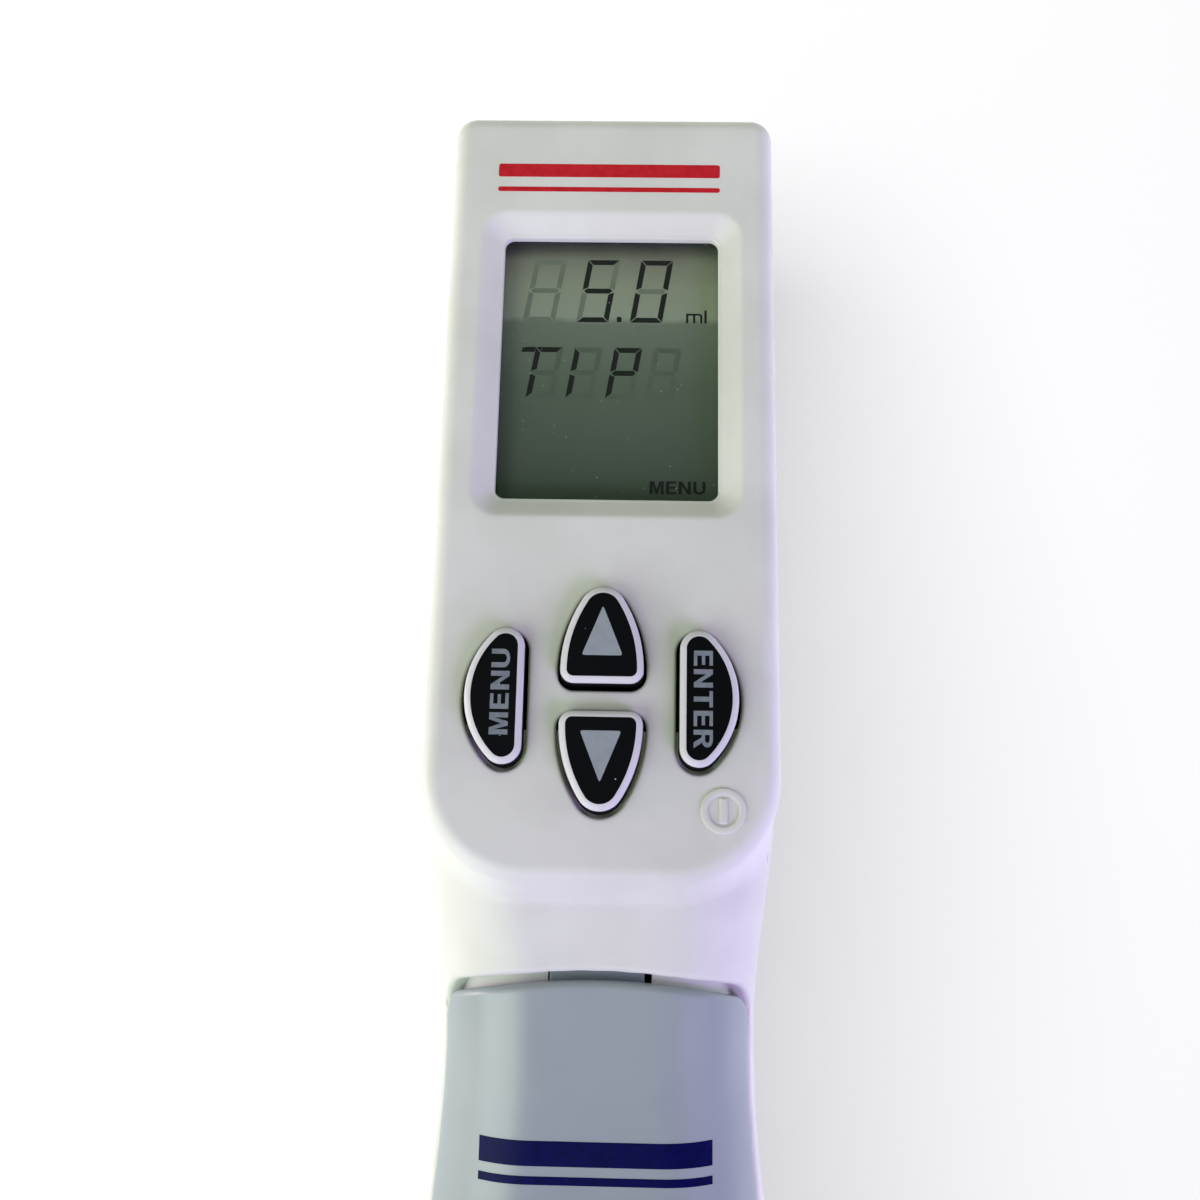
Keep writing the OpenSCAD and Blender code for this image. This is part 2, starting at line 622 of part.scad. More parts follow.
module push_tube() color(steel) difference() {
    rod(tube_r, tube_z0, carriage_z - 2.5);
    rod(screw_r + 0.7, tube_z0 - 1, carriage_z);
}
module piston_clamp() color(latch_grey) difference() {
    union() {
        rod(tube_r, tube_z0 - 8, tube_z0);
        rod(screw_r + 0.7, tube_z0 - 1, tube_z0 + 2);
    }
    rod(2.6, tube_z0 - 9, tube_z0 - 2);
    rod(3.2, tube_z0 - 6, tube_z0 - 4);
    for (a = [0, 90]) rotate([0, 0, a]) box(-0.5, 0.5, -6, 6, tube_z0 - 9, tube_z0 - 2.5);
}

// ---- battery ------------------------------------------------------------------

module at_cells() for (i = [-1:1]) translate([i * battery_pitch, battery_y, 0]) children();
module battery_cells() color("#3f6fb0") at_cells() union() {
    rod(cell_r, battery_z, battery_z + cell_l, 64);
    rod(1.8, battery_z + cell_l - 1, battery_z + cell_l + 0.9, 32);
}
module battery_tray() color(dark_plastic) union() {
    box(-17, 17, -6.5, -5.4, battery_z - 5, battery_z + cell_l + 5);
    for (z = [battery_z - 4.2, battery_z + cell_l + 3]) box(-12.5, 12.5, -14.4, -5.4, z, z + 1.2);
}
module battery_contacts() color(brass) at_cells() {
    box(-2, 2, -2, 2, battery_z + cell_l + 1, battery_z + cell_l + 3);
    rotate_extrude($fn = 32) polygon([[0, battery_z - 3], [2.2, battery_z - 3], [1.2, battery_z], [0, battery_z]]);
}

// ---- tip holder and ejector ---------------------------------------------------

module tip_holder() color(latch_grey) difference() {
    rotate_extrude($fn = 96) polygon([
        [socket_r, 0], [holder_r - 1.4, 0], [holder_r - 0.6, 0.8], [holder_r, nose_z - 0.1], [holder_neck_r, nose_z - 0.1],
        [holder_neck_r, 23.6], [11.2, 23.6], [11.2, frame_z0], [bore_r, frame_z0], [bore_r, socket_d], [socket_r, socket_d]]);
    for (s = [0, 180]) rotate([0, 0, s]) box(latch_slot_x0, holder_r + 1, -3.2, 3.2, 9, frame_z0 + 1);
    box(-3.4, 3.4, 5, 15, ring_z - eject_travel - 0.5, frame_z0 + 1);
    for (s = [-1, 1]) translate([s * latch_pivot[0], 6.5, latch_pivot[1]]) rotate([90, 0, 0])
        cylinder(r = latch_pin_r, h = 13, $fn = 48);
}
module latch_pins() color(steel) for (s = [-1, 1]) translate([s * latch_pivot[0], 6.5, latch_pivot[1]])
    rotate([90, 0, 0]) cylinder(r = latch_pin_r, h = 13, $fn = 48);
module tip_latch(s) color(cover_grey) difference() {
    mirror([s < 0 ? 1 : 0, 0, 0]) translate([0, 2.9, 0]) rotate([90, 0, 0]) linear_extrude(5.8) polygon([
        [8.7, 10.4], [10.4, 10], [13.6, 10], [14.2, 13], [13.8, latch_tail_z], [latch_tail_x, latch_tail_z], [10.4, 18],
        [10.4, 12.6], [8.7, 12.2]]);
    translate([s * latch_pivot[0], 6.5, latch_pivot[1]]) rotate([90, 0, 0])
        cylinder(r = latch_pin_r + fit, h = 13, $fn = 48);
}
module tip_latch_left() tip_latch(-1);
module tip_latch_right() tip_latch(1);

module ejector() color(latch_grey) union() {
    difference() {
        union() {
            rod(bore_r - gap, ring_z, ring_z + ring_t, 64);
            box(-3, 3, 7, 13.2, ring_z, ring_z + ring_t);
        }
        rod(tube_r + 1.2, ring_z - 1, ring_z + ring_t + 1, 64);
    }
    box(-3, 3, 11.6, 13.2, ring_z, 64);
    box(-2, 2, 7.6, 11.7, 62, 64);
    box(-3, 3, 13, 17.2, 52, 60);
}
module eject_key() color(cover_grey) difference() {
    union() {
        box(-5, 5, 17.2, 19.4, 51, 63);
        for (i = [0:2]) translate([0, 0, 3.2 * i]) box(-4.4, 4.4, 19.3, 20, 53.6, 54.8);
    }
}
// A helical spring of round wire, closed at both ends by its end faces.
module eject_spring() color(steel) translate([0, seat_y, seat_z + 0.35]) {
    turns = 6;
    steps = 12;
    sides = 8;
    length = 62 - seat_z - 0.7;
    rings = [for (i = [0:turns * steps]) let (a = 360 * i / steps, z = length * i / (turns * steps))
        [for (j = [0:sides - 1]) let (b = 360 * j / sides)
            [(1.5 + 0.25 * cos(b)) * cos(a), (1.5 + 0.25 * cos(b)) * sin(a), z + 0.25 * sin(b)]]];
    n = len(rings);
    polyhedron(
        points = [for (r = rings) each r],
        faces = concat(
            [[for (j = [0:sides - 1]) j]],
            [for (i = [0:n - 2], j = [0:sides - 1]) let (k = (j + 1) % sides)
                each [[i * sides + j, (i + 1) * sides + j, (i + 1) * sides + k],
                      [i * sides + j, (i + 1) * sides + k, i * sides + k]]],
            [[for (j = [0:sides - 1]) n * sides - 1 - j]]),
        convexity = 10);
}

// ---- finger side --------------------------------------------------------------

module step_trigger() color(cover_grey) difference() {
    union() {
        translate([0, 0, trigger_pivot[1]]) side_plate(trigger_w) polygon(concat(
            [[trigger_in_y, -18.8], [17.8, -18.8]], arc(17.4, -16.4, 2.4, -70, 10, 4), [[20.2, -9], [19.2, -2]],
            [[17.4, 2.2], [14.6, 2.2], [11.6, -1.6], [trigger_in_y, -5]]));
        translate([-trigger_w / 2, trigger_pivot[0], trigger_pivot[1]]) rotate([0, 90, 0])
            cylinder(r = 2.1, h = trigger_w, $fn = 48);
    }
    translate([-10, trigger_pivot[0], trigger_pivot[1]]) rotate([0, 90, 0]) cylinder(r = trigger_pin_r + fit, h = 20, $fn = 48);
}
module trigger_pin() color(steel) translate([-9.1, trigger_pivot[0], trigger_pivot[1]]) rotate([0, 90, 0])
    cylinder(r = trigger_pin_r, h = 18.2, $fn = 48);
module trigger_switch() color(key_black) union() {
    box(-5, 5, 6.8, 10.2, plunger_z - 2, plunger_z + 5);
    box(-1, 1, 10, plunger_y, plunger_z - 1, plunger_z + 1);
}
module finger_hook() color(white_plastic) difference() {
    union() {
        side_plate(hook_w) difference() {
            union() {
                translate([hook_y, hook_z]) circle(r = hook_r + hook_t, $fn = 96);
                translate([hook_y + hook_r, hook_reach_z]) square([hook_t, hook_z - hook_reach_z]);
                translate([hook_y + hook_r + hook_t / 2, hook_reach_z]) circle(r = hook_t / 2, $fn = 32);
                translate([hook_seat_y, hook_z - 2]) square([hook_t, 21]);
            }
            translate([hook_y, hook_z]) circle(r = hook_r, $fn = 96);
            translate([hook_y - hook_r, hook_z - 40]) square([2 * hook_r, 40]);
            translate([0, hook_z - 60]) square([hook_seat_y, 120]);
            translate([0, hook_z - 60]) square([hook_y, 58]);
        }
    }
    for (z = hook_screw_z) translate([0, 9, z]) rotate([-90, 0, 0]) cylinder(r = 1.1, h = 8, $fn = 32);
}
module hook_screws() color(steel) for (z = hook_screw_z) translate([0, 0, z]) rotate([-90, 0, 0]) {
    rod(1.1, 10.6, 16.8, 32);
    rod(2, 9.8, 10.8, 32);
}

front_housing();
rear_housing();
display_window();
window_gasket();
lcd_panel();
lcd_frame();
main_board();
board_parts();
key_switches();
beeper();
charging_jack();
key_up();
key_down();
key_menu();
key_enter();
drive_frame();
motor();
motor_posts();
shaft_coupling();
lead_screw();
screw_bearing();
guide_rods();
carriage();
drive_nut();
push_tube();
piston_clamp();
tip_holder();
tip_latch_left();
tip_latch_right();
latch_pins();
ejector();
eject_key();
eject_spring();
step_trigger();
trigger_pin();
trigger_switch();
finger_hook();
hook_screws();
battery_cells();
battery_tray();
battery_contacts();
front_cover();
cover_latch();
cover_hinge_pin();
housing_screws();
board_screws();
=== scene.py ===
"""The finished look of an electronic repeating pipette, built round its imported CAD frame.

Shapes are worked out in millimetres in the frame's own axes: +Z up, the display towards -Y, the origin in the
middle of the tip socket's mouth. MeshMaker turns them to metres as it makes a piece.
"""

from __future__ import annotations

import logging
import math
from dataclasses import dataclass, field
from enum import Enum
from typing import Iterable, Sequence

import bmesh
import bpy
import numpy as np
from mathutils import Matrix, Vector
from mathutils.geometry import tessellate_polygon


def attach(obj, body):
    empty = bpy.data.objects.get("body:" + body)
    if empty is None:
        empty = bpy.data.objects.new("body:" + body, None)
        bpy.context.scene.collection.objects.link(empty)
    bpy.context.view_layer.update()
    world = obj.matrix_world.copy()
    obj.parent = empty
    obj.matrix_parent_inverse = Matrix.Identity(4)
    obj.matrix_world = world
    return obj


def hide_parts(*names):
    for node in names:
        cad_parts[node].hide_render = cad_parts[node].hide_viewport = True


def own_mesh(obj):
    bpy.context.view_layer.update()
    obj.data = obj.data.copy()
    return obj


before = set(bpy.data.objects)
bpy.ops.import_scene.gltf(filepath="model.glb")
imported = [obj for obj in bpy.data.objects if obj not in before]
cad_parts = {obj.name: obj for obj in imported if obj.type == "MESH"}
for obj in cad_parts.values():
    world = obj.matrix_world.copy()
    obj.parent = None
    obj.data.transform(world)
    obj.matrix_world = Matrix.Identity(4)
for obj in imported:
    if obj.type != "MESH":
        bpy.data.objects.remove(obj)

LOG = logging.getLogger("pipette")
MM = 0.001
# How far a printed film or a display's segment reaches under and over the surface it lies on, in mm.
FILM_UNDER, FILM_OVER = 0.02, 0.03


# ---- materials ------------------------------------------------------------------


def linear(hex_colour: str) -> tuple[float, float, float, float]:
    """Turns an sRGB hex colour to linear.

    Args:
        hex_colour: six hex digits, such as "d8dad6".

    Returns:
        Linear red, green, blue and an alpha of 1.
    """
    parts = np.array([int(hex_colour[i : i + 2], 16) for i in (0, 2, 4)]) / 255.0
    low = parts <= 0.04045
    values = np.where(low, parts / 12.92, ((parts + 0.055) / 1.055) ** 2.4)
    return (*map(float, values), 1.0)


def add_node(
    tree: bpy.types.NodeTree, kind: str, inputs: dict | None = None, stops: Sequence[tuple[float, str]] = (),
    **settings,
) -> bpy.types.Node:
    """Adds one node with its settings and links.

    Args:
        tree: the node tree.
        kind: the node's type name.
        inputs: input name or number to a value, or to an output socket that is linked to it.
        stops: position and sRGB hex colour of each stop, where it is a colour ramp.
        settings: attributes of the node.

    Returns:
        The new node.
    """
    node = tree.nodes.new(kind)
    for key, value in settings.items():
        setattr(node, key, value)
    if stops:
        elements = node.color_ramp.elements
        for _ in stops[2:]:
            elements.new(0.5)
        for element, (place, colour) in zip(elements, stops):
            element.position, element.color = place, linear(colour)
    set_inputs(node, inputs or {})
    return node


def set_inputs(node: bpy.types.Node, inputs: dict) -> None:
    """Sets or links a node's inputs.

    Args:
        node: the node.
        inputs: input name or number to a value, or to an output socket that is linked to it.
    """
    for key, value in inputs.items():
        if isinstance(value, bpy.types.NodeSocket):
            node.id_data.links.new(value, node.inputs[key])
        else:
            node.inputs[key].default_value = value


def empty_tree(owner: bpy.types.Material | bpy.types.World) -> bpy.types.NodeTree:
    """Gives a material or a world an empty node tree, and returns the tree."""
    owner.use_nodes = True
    owner.node_tree.nodes.clear()
    return owner.node_tree


def new_material(
    name: str,
) -> tuple[bpy.types.Material, bpy.types.NodeTree, bpy.types.Node, bpy.types.NodeSocket]:
    """Makes a node material with its output, a Principled shader and object coordinates.

    Args:
        name: the material's name.

    Returns:
        The material, its tree, its Principled shader and the coordinates' socket.
    """
    made = bpy.data.materials.new(name)
    tree = empty_tree(made)
    shader = add_node(tree, "ShaderNodeBsdfPrincipled")
    add_node(tree, "ShaderNodeOutputMaterial", {"Surface": shader.outputs[0]})
    return made, tree, shader, add_node(tree, "ShaderNodeTexCoord").outputs["Object"]


def add_object(name: str, data: bpy.types.ID) -> bpy.types.Object:
    """Makes an object of a mesh, light or camera in the scene's collection, and returns it."""
    made = bpy.data.objects.new(name, data)
    bpy.context.scene.collection.objects.link(made)
    return made


def ray_is(tree: bpy.types.NodeTree, kinds: Sequence[str]) -> bpy.types.NodeSocket:
    """Tells some kinds of ray from all others: the larger of their outputs, which are 0 or 1.

    Args:
        tree: the node tree.
        kinds: such as "Camera" or "Glossy".

    Returns:
        A socket that is 1 for a ray of any of these kinds.
    """
    path = add_node(tree, "ShaderNodeLightPath")
    joined, *others = (path.outputs[f"Is {kind} Ray"] for kind in kinds)
    for other in others:
        joined = add_node(tree, "ShaderNodeMath", {0: joined, 1: other}, operation="MAXIMUM").outputs[0]
    return joined


class Surface(Enum):
    """How a moulded surface was finished, which sets how even its gloss is."""

    SATIN = "satin from a fine-sparked mould"
    SMOOTH = "smooth from a polished mould"
    RUBBER = "matt silicone rubber"


@dataclass(frozen=True)
class Plastic:
    """Moulded plastic or rubber: a base colour with a cloudy drift, a fine grain in its gloss and its relief.

    The drift is what flow in the mould and handling leave, the grain is the mould's own texture, drawn coarser
    than a real one so that it shows.
    """

    name: str
    colour: str
    drift: str
    surface: Surface = Surface.SATIN
    roughness: float = 0.42
    grain_mm: float = 0.28
    relief_mm: float = 0.006
    drift_mm: float = 16.0
    specks: float = 0.0
    specular: float = 0.42
    dust: str = "c9ccc9"
    dust_cell_mm: float = 1.5
    dust_patch_mm: float = 2.6
    dust_reach: float = 0.055
    dust_from: float = 0.56

    def material(self) -> bpy.types.Material:
        """Builds the node material.

        Returns:
            The material.
        """
        made, tree, shader, place = new_material(self.name)
        cloud = add_node(
            tree, "ShaderNodeTexNoise",
            {"Vector": place, "Scale": 1000 / self.drift_mm, "Detail": 3.0, "Roughness": 0.55},
        )
        drifts = ((0.36, self.drift), (0.62, self.colour))
        base = add_node(tree, "ShaderNodeValToRGB", {0: cloud.outputs[0]}, drifts).outputs[0]
        grain = add_node(
            tree, "ShaderNodeTexNoise", {"Vector": place, "Scale": 1000 / self.grain_mm, "Detail": 2.0},
        )
        if self.specks:
            # Dust: the few cells of a fine cell pattern that lie closest to their centres, drawn pale.
            cells = add_node(
                tree, "ShaderNodeTexVoronoi",
                {"Vector": place, "Scale": 1000 / self.dust_cell_mm, "Randomness": 1.0},
            )
            lucky = add_node(
                tree, "ShaderNodeTexNoise", {"Vector": place, "Scale": 1000 / self.dust_patch_mm, "Detail": 0.0},
            )
            near = add_node(
                tree, "ShaderNodeMath", {0: cells.outputs["Distance"], 1: self.dust_reach * self.specks},
                operation="LESS_THAN",
            )
            some = add_node(
                tree, "ShaderNodeMath", {0: lucky.outputs[0], 1: self.dust_from}, operation="GREATER_THAN",
            )
            both = add_node(tree, "ShaderNodeMath", {0: near.outputs[0], 1: some.outputs[0]}, operation="MULTIPLY")
            mixed = add_node(
                tree, "ShaderNodeMix", {0: both.outputs[0], 6: base, 7: linear(self.dust)}, data_type="RGBA",
            )
            base = mixed.outputs[2]
        spread = 0.16 if self.surface is Surface.SATIN else 0.08
        gloss = add_node(
            tree, "ShaderNodeMapRange",
            {0: grain.outputs[0], 3: self.roughness - spread / 2, 4: self.roughness + spread / 2},
        )
        bump = add_node(
            tree, "ShaderNodeBump",
            {"Strength": 0.5, "Distance": self.relief_mm * MM, "Height": grain.outputs[0]},
        )
        set_inputs(shader, {
            "Base Color": base,
            "Roughness": gloss.outputs[0],
            "Normal": bump.outputs[0],
            "IOR": 1.46 if self.surface is Surface.RUBBER else 1.5,
            "Specular IOR Level": self.specular,
        })
        return made


@dataclass(frozen=True)
class Metal:
    """Steel or brass, drawn or turned: fine lines across the axis break up its gloss."""

    name: str
    colour: str
    dull: str
    roughness: float = 0.28

    def material(self) -> bpy.types.Material:
        """Builds the node material.

        Returns:
            The material.
        """
        made, tree, shader, place = new_material(self.name)
        # Lines about 0.26 mm apart along the axis and 3.3 mm long across it, coarse enough to show.
        drawn = add_node(tree, "ShaderNodeMapping", {"Vector": place, "Scale": (300.0, 300.0, 3800.0)})
        lines = add_node(
            tree, "ShaderNodeTexNoise", {"Vector": drawn.outputs[0], "Scale": 1.0, "Detail": 2.0},
        )
        cloud = add_node(tree, "ShaderNodeTexNoise", {"Vector": place, "Scale": 160.0, "Detail": 3.0})
        gloss = add_node(
            tree, "ShaderNodeMapRange",
            {0: lines.outputs[0], 3: self.roughness - 0.08, 4: self.roughness + 0.12},
        )
        bump = add_node(
            tree, "ShaderNodeBump", {"Strength": 0.3, "Distance": 0.004 * MM, "Height": lines.outputs[0]},
        )
        drifts = ((0.35, self.dull), (0.6, self.colour))
        set_inputs(shader, {
            "Base Color": add_node(tree, "ShaderNodeValToRGB", {0: cloud.outputs[0]}, drifts).outputs[0],
            "Roughness": gloss.outputs[0],
            "Normal": bump.outputs[0],
            "Metallic": 1.0,
        })
        return made


@dataclass(frozen=True)
class DisplayGlass:
    """The liquid-crystal panel: grey-green, with a painted reflection that makes a lighter band under the digits'
    row, and painted shade that darkens it at both ends.

    The painted reflection and shade are a ramp over the height, darkest at the top under the recess's wall, whose
    place drifts a little with a soft noise.
    """

    name: str = "lcd_panel_painted_reflection"
    low_mm: float = 196.0
    high_mm: float = 233.0
    # The stops paint light: the light band from 0.685 to 0.8 is a painted reflection, and the dark ends are painted
    # shade.
    stops: tuple[tuple[float, str], ...] = (
        (0.0, "414f44"),
        (0.12, "485649"),
        (0.42, "556555"),
        (0.66, "687666"),
        (0.685, "8a9784"),
        (0.8, "88927d"),
        (0.9, "767d6d"),
        (1.0, "33372c"),
    )

    def material(self) -> bpy.types.Material:
        """Builds the node material.

        Returns:
            The material.
        """
        made, tree, shader, place = new_material(self.name)
        height = add_node(tree, "ShaderNodeSeparateXYZ", {0: place}).outputs["Z"]
        share = add_node(tree, "ShaderNodeMapRange", {0: height, 1: self.low_mm * MM, 2: self.high_mm * MM})
        cloud = add_node(tree, "ShaderNodeTexNoise", {"Vector": place, "Scale": 120.0, "Detail": 2.0})
        drift = add_node(tree, "ShaderNodeMapRange", {0: cloud.outputs[0], 3: -0.03, 4: 0.03})
        sums = add_node(tree, "ShaderNodeMath", {0: share.outputs[0], 1: drift.outputs[0]}, operation="ADD")
        grain = add_node(tree, "ShaderNodeTexNoise", {"Vector": place, "Scale": 5000.0})
        gloss = add_node(tree, "ShaderNodeMapRange", {0: grain.outputs[0], 3: 0.5, 4: 0.62})
        set_inputs(shader, {
            "Base Color": add_node(tree, "ShaderNodeValToRGB", {0: sums.outputs[0]}, self.stops).outputs[0],
            "Roughness": gloss.outputs[0],
            "Specular IOR Level": 0.1,
        })
        return made


@dataclass(frozen=True)
class ClearWindow:
    """Clear acrylic over the display: nearly all light passes, with a weak gloss and a little dust."""

    name: str = "clear_acrylic_window"
    tint: str = "9aa39a"
    dust: str = "d5d8d2"

    def material(self) -> bpy.types.Material:
        """Builds the node material.

        Returns:
            The material.
        """
        made, tree, shader, place = new_material(self.name)
        cells = add_node(tree, "ShaderNodeTexVoronoi", {"Vector": place, "Scale": 560.0})
        speck = add_node(
            tree, "ShaderNodeMath", {0: cells.outputs["Distance"], 1: 0.05}, operation="LESS_THAN",
        )
        alpha = add_node(tree, "ShaderNodeMapRange", {0: speck.outputs[0], 3: 0.02, 4: 0.4})
        tints = ((0.0, self.tint), (1.0, self.dust))
        set_inputs(shader, {
            "Base Color": add_node(tree, "ShaderNodeValToRGB", {0: speck.outputs[0]}, tints).outputs[0],
            "Alpha": alpha.outputs[0],
            "Roughness": 0.08,
            "Specular IOR Level": 0.06,
        })
        return made


@dataclass(frozen=True)
class Ink:
    """Printed ink or a darkened display segment: an even film whose density wavers a little."""

    name: str
    colour: str
    thin: str
    roughness: float = 0.5

    def material(self) -> bpy.types.Material:
        """Builds the node material.

        Returns:
            The material.
        """
        made, tree, shader, place = new_material(self.name)
        film = add_node(tree, "ShaderNodeTexNoise", {"Vector": place, "Scale": 900.0, "Detail": 3.0})
        gloss = add_node(
            tree, "ShaderNodeMapRange",
            {0: film.outputs[0], 3: self.roughness - 0.08, 4: self.roughness + 0.08},
        )
        tones = ((0.38, self.thin), (0.55, self.colour))
        set_inputs(shader, {
            "Base Color": add_node(tree, "ShaderNodeValToRGB", {0: film.outputs[0]}, tones).outputs[0],
            "Roughness": gloss.outputs[0],
            "Specular IOR Level": 0.12,
        })
        return made


class Finishes:
    """The finishes of the pipette, each made once and shared by the pieces that have it."""

    # Satin ABS from a spark-eroded mould: wide soft highlights, stronger on the cover's smoother skin.
    WHITE = Plastic("white_abs_satin", "dcdedb", "d3d5d1")
    COVER = Plastic("grey_blue_abs_satin", "97a2a6", "8e999e", drift_mm=26.0, roughness=0.34, specular=0.85)
    # Nylon: duller, and darker where it is filled.
    LATCH = Plastic("grey_nylon_latch", "848e94", "79838a", Surface.SMOOTH, roughness=0.45)
    DARK = Plastic("dark_filled_nylon", "3b3e43", "323539", roughness=0.5)
    # Silicone rubber: nearly no gloss, and it holds dust as pale specks.
    RUBBER = Plastic(
        "black_silicone_rubber", "07090d", "05070a", Surface.RUBBER, roughness=0.6, relief_mm=0.004,
        specks=1.0, specular=0.14,
    )
    # Plastic from a polished mould: an even gloss.
    RIM = Plastic("white_key_rim", "d5d5db", "cdcdd4", Surface.SMOOTH, roughness=0.4)
    # Prints and display segments: flat films with hardly any gloss.
    LEGEND = Ink("grey_key_print", "7f878f", "757d85")
    ARROW = Ink("pale_grey_key_print", "959ea5", "90999f")
    SEGMENT = Ink("dark_lcd_segment", "0b100e", "0f1512", 0.5)
    # Two copies of the unlit segments' ink whose tones differ only by the panel's painted light: the digits'
    # lighter one in its painted reflection, the letters' darker one in its painted shade.
    FAINT = Ink("unlit_lcd_digit", "6c7868", "687464", 0.5)
    FAINT_IN_SHADE = Ink("unlit_lcd_letter_painted_shade", "536152", "4f5d4e", 0.5)
    RED = Ink("red_print", "c4242f", "b81f2a")
    NAVY = Ink("navy_print", "060a46", "05083c")
    # Solder resist and a shrunk sleeve: smooth films with a clear gloss.
    BOARD = Plastic("green_circuit_board", "2f6b45", "275c3a", Surface.SMOOTH, roughness=0.35)
    SLEEVE = Plastic("blue_battery_sleeve", "3f6fb0", "38639e", Surface.SMOOTH, roughness=0.3)
    # Drawn steel and turned brass: fine lines break up their highlights.
    STEEL = Metal("drawn_steel", "b9bcc0", "a5a8ad")
    BRASS = Metal("turned_brass", "c9a85a", "b6964c")
    # The panel's finish paints a reflection band and shade over its height.
    LCD = DisplayGlass()
    WINDOW = ClearWindow()

    _made: dict[str, bpy.types.Material] = {}

    @classmethod
    def get(cls, finish: Plastic | Metal | DisplayGlass | ClearWindow | Ink) -> bpy.types.Material:
        """Returns the finish's material, made at its first use."""
        if finish.name not in cls._made:
            cls._made[finish.name] = finish.material()
        return cls._made[finish.name]


# ---- meshes -----------------------------------------------------------------------


def quads(grid: np.ndarray) -> np.ndarray:
    """Four-sided faces between neighbours of a grid of point numbers: rows by columns by 4."""
    return np.stack([grid[:-1, :-1], grid[:-1, 1:], grid[1:, 1:], grid[1:, :-1]], -1)


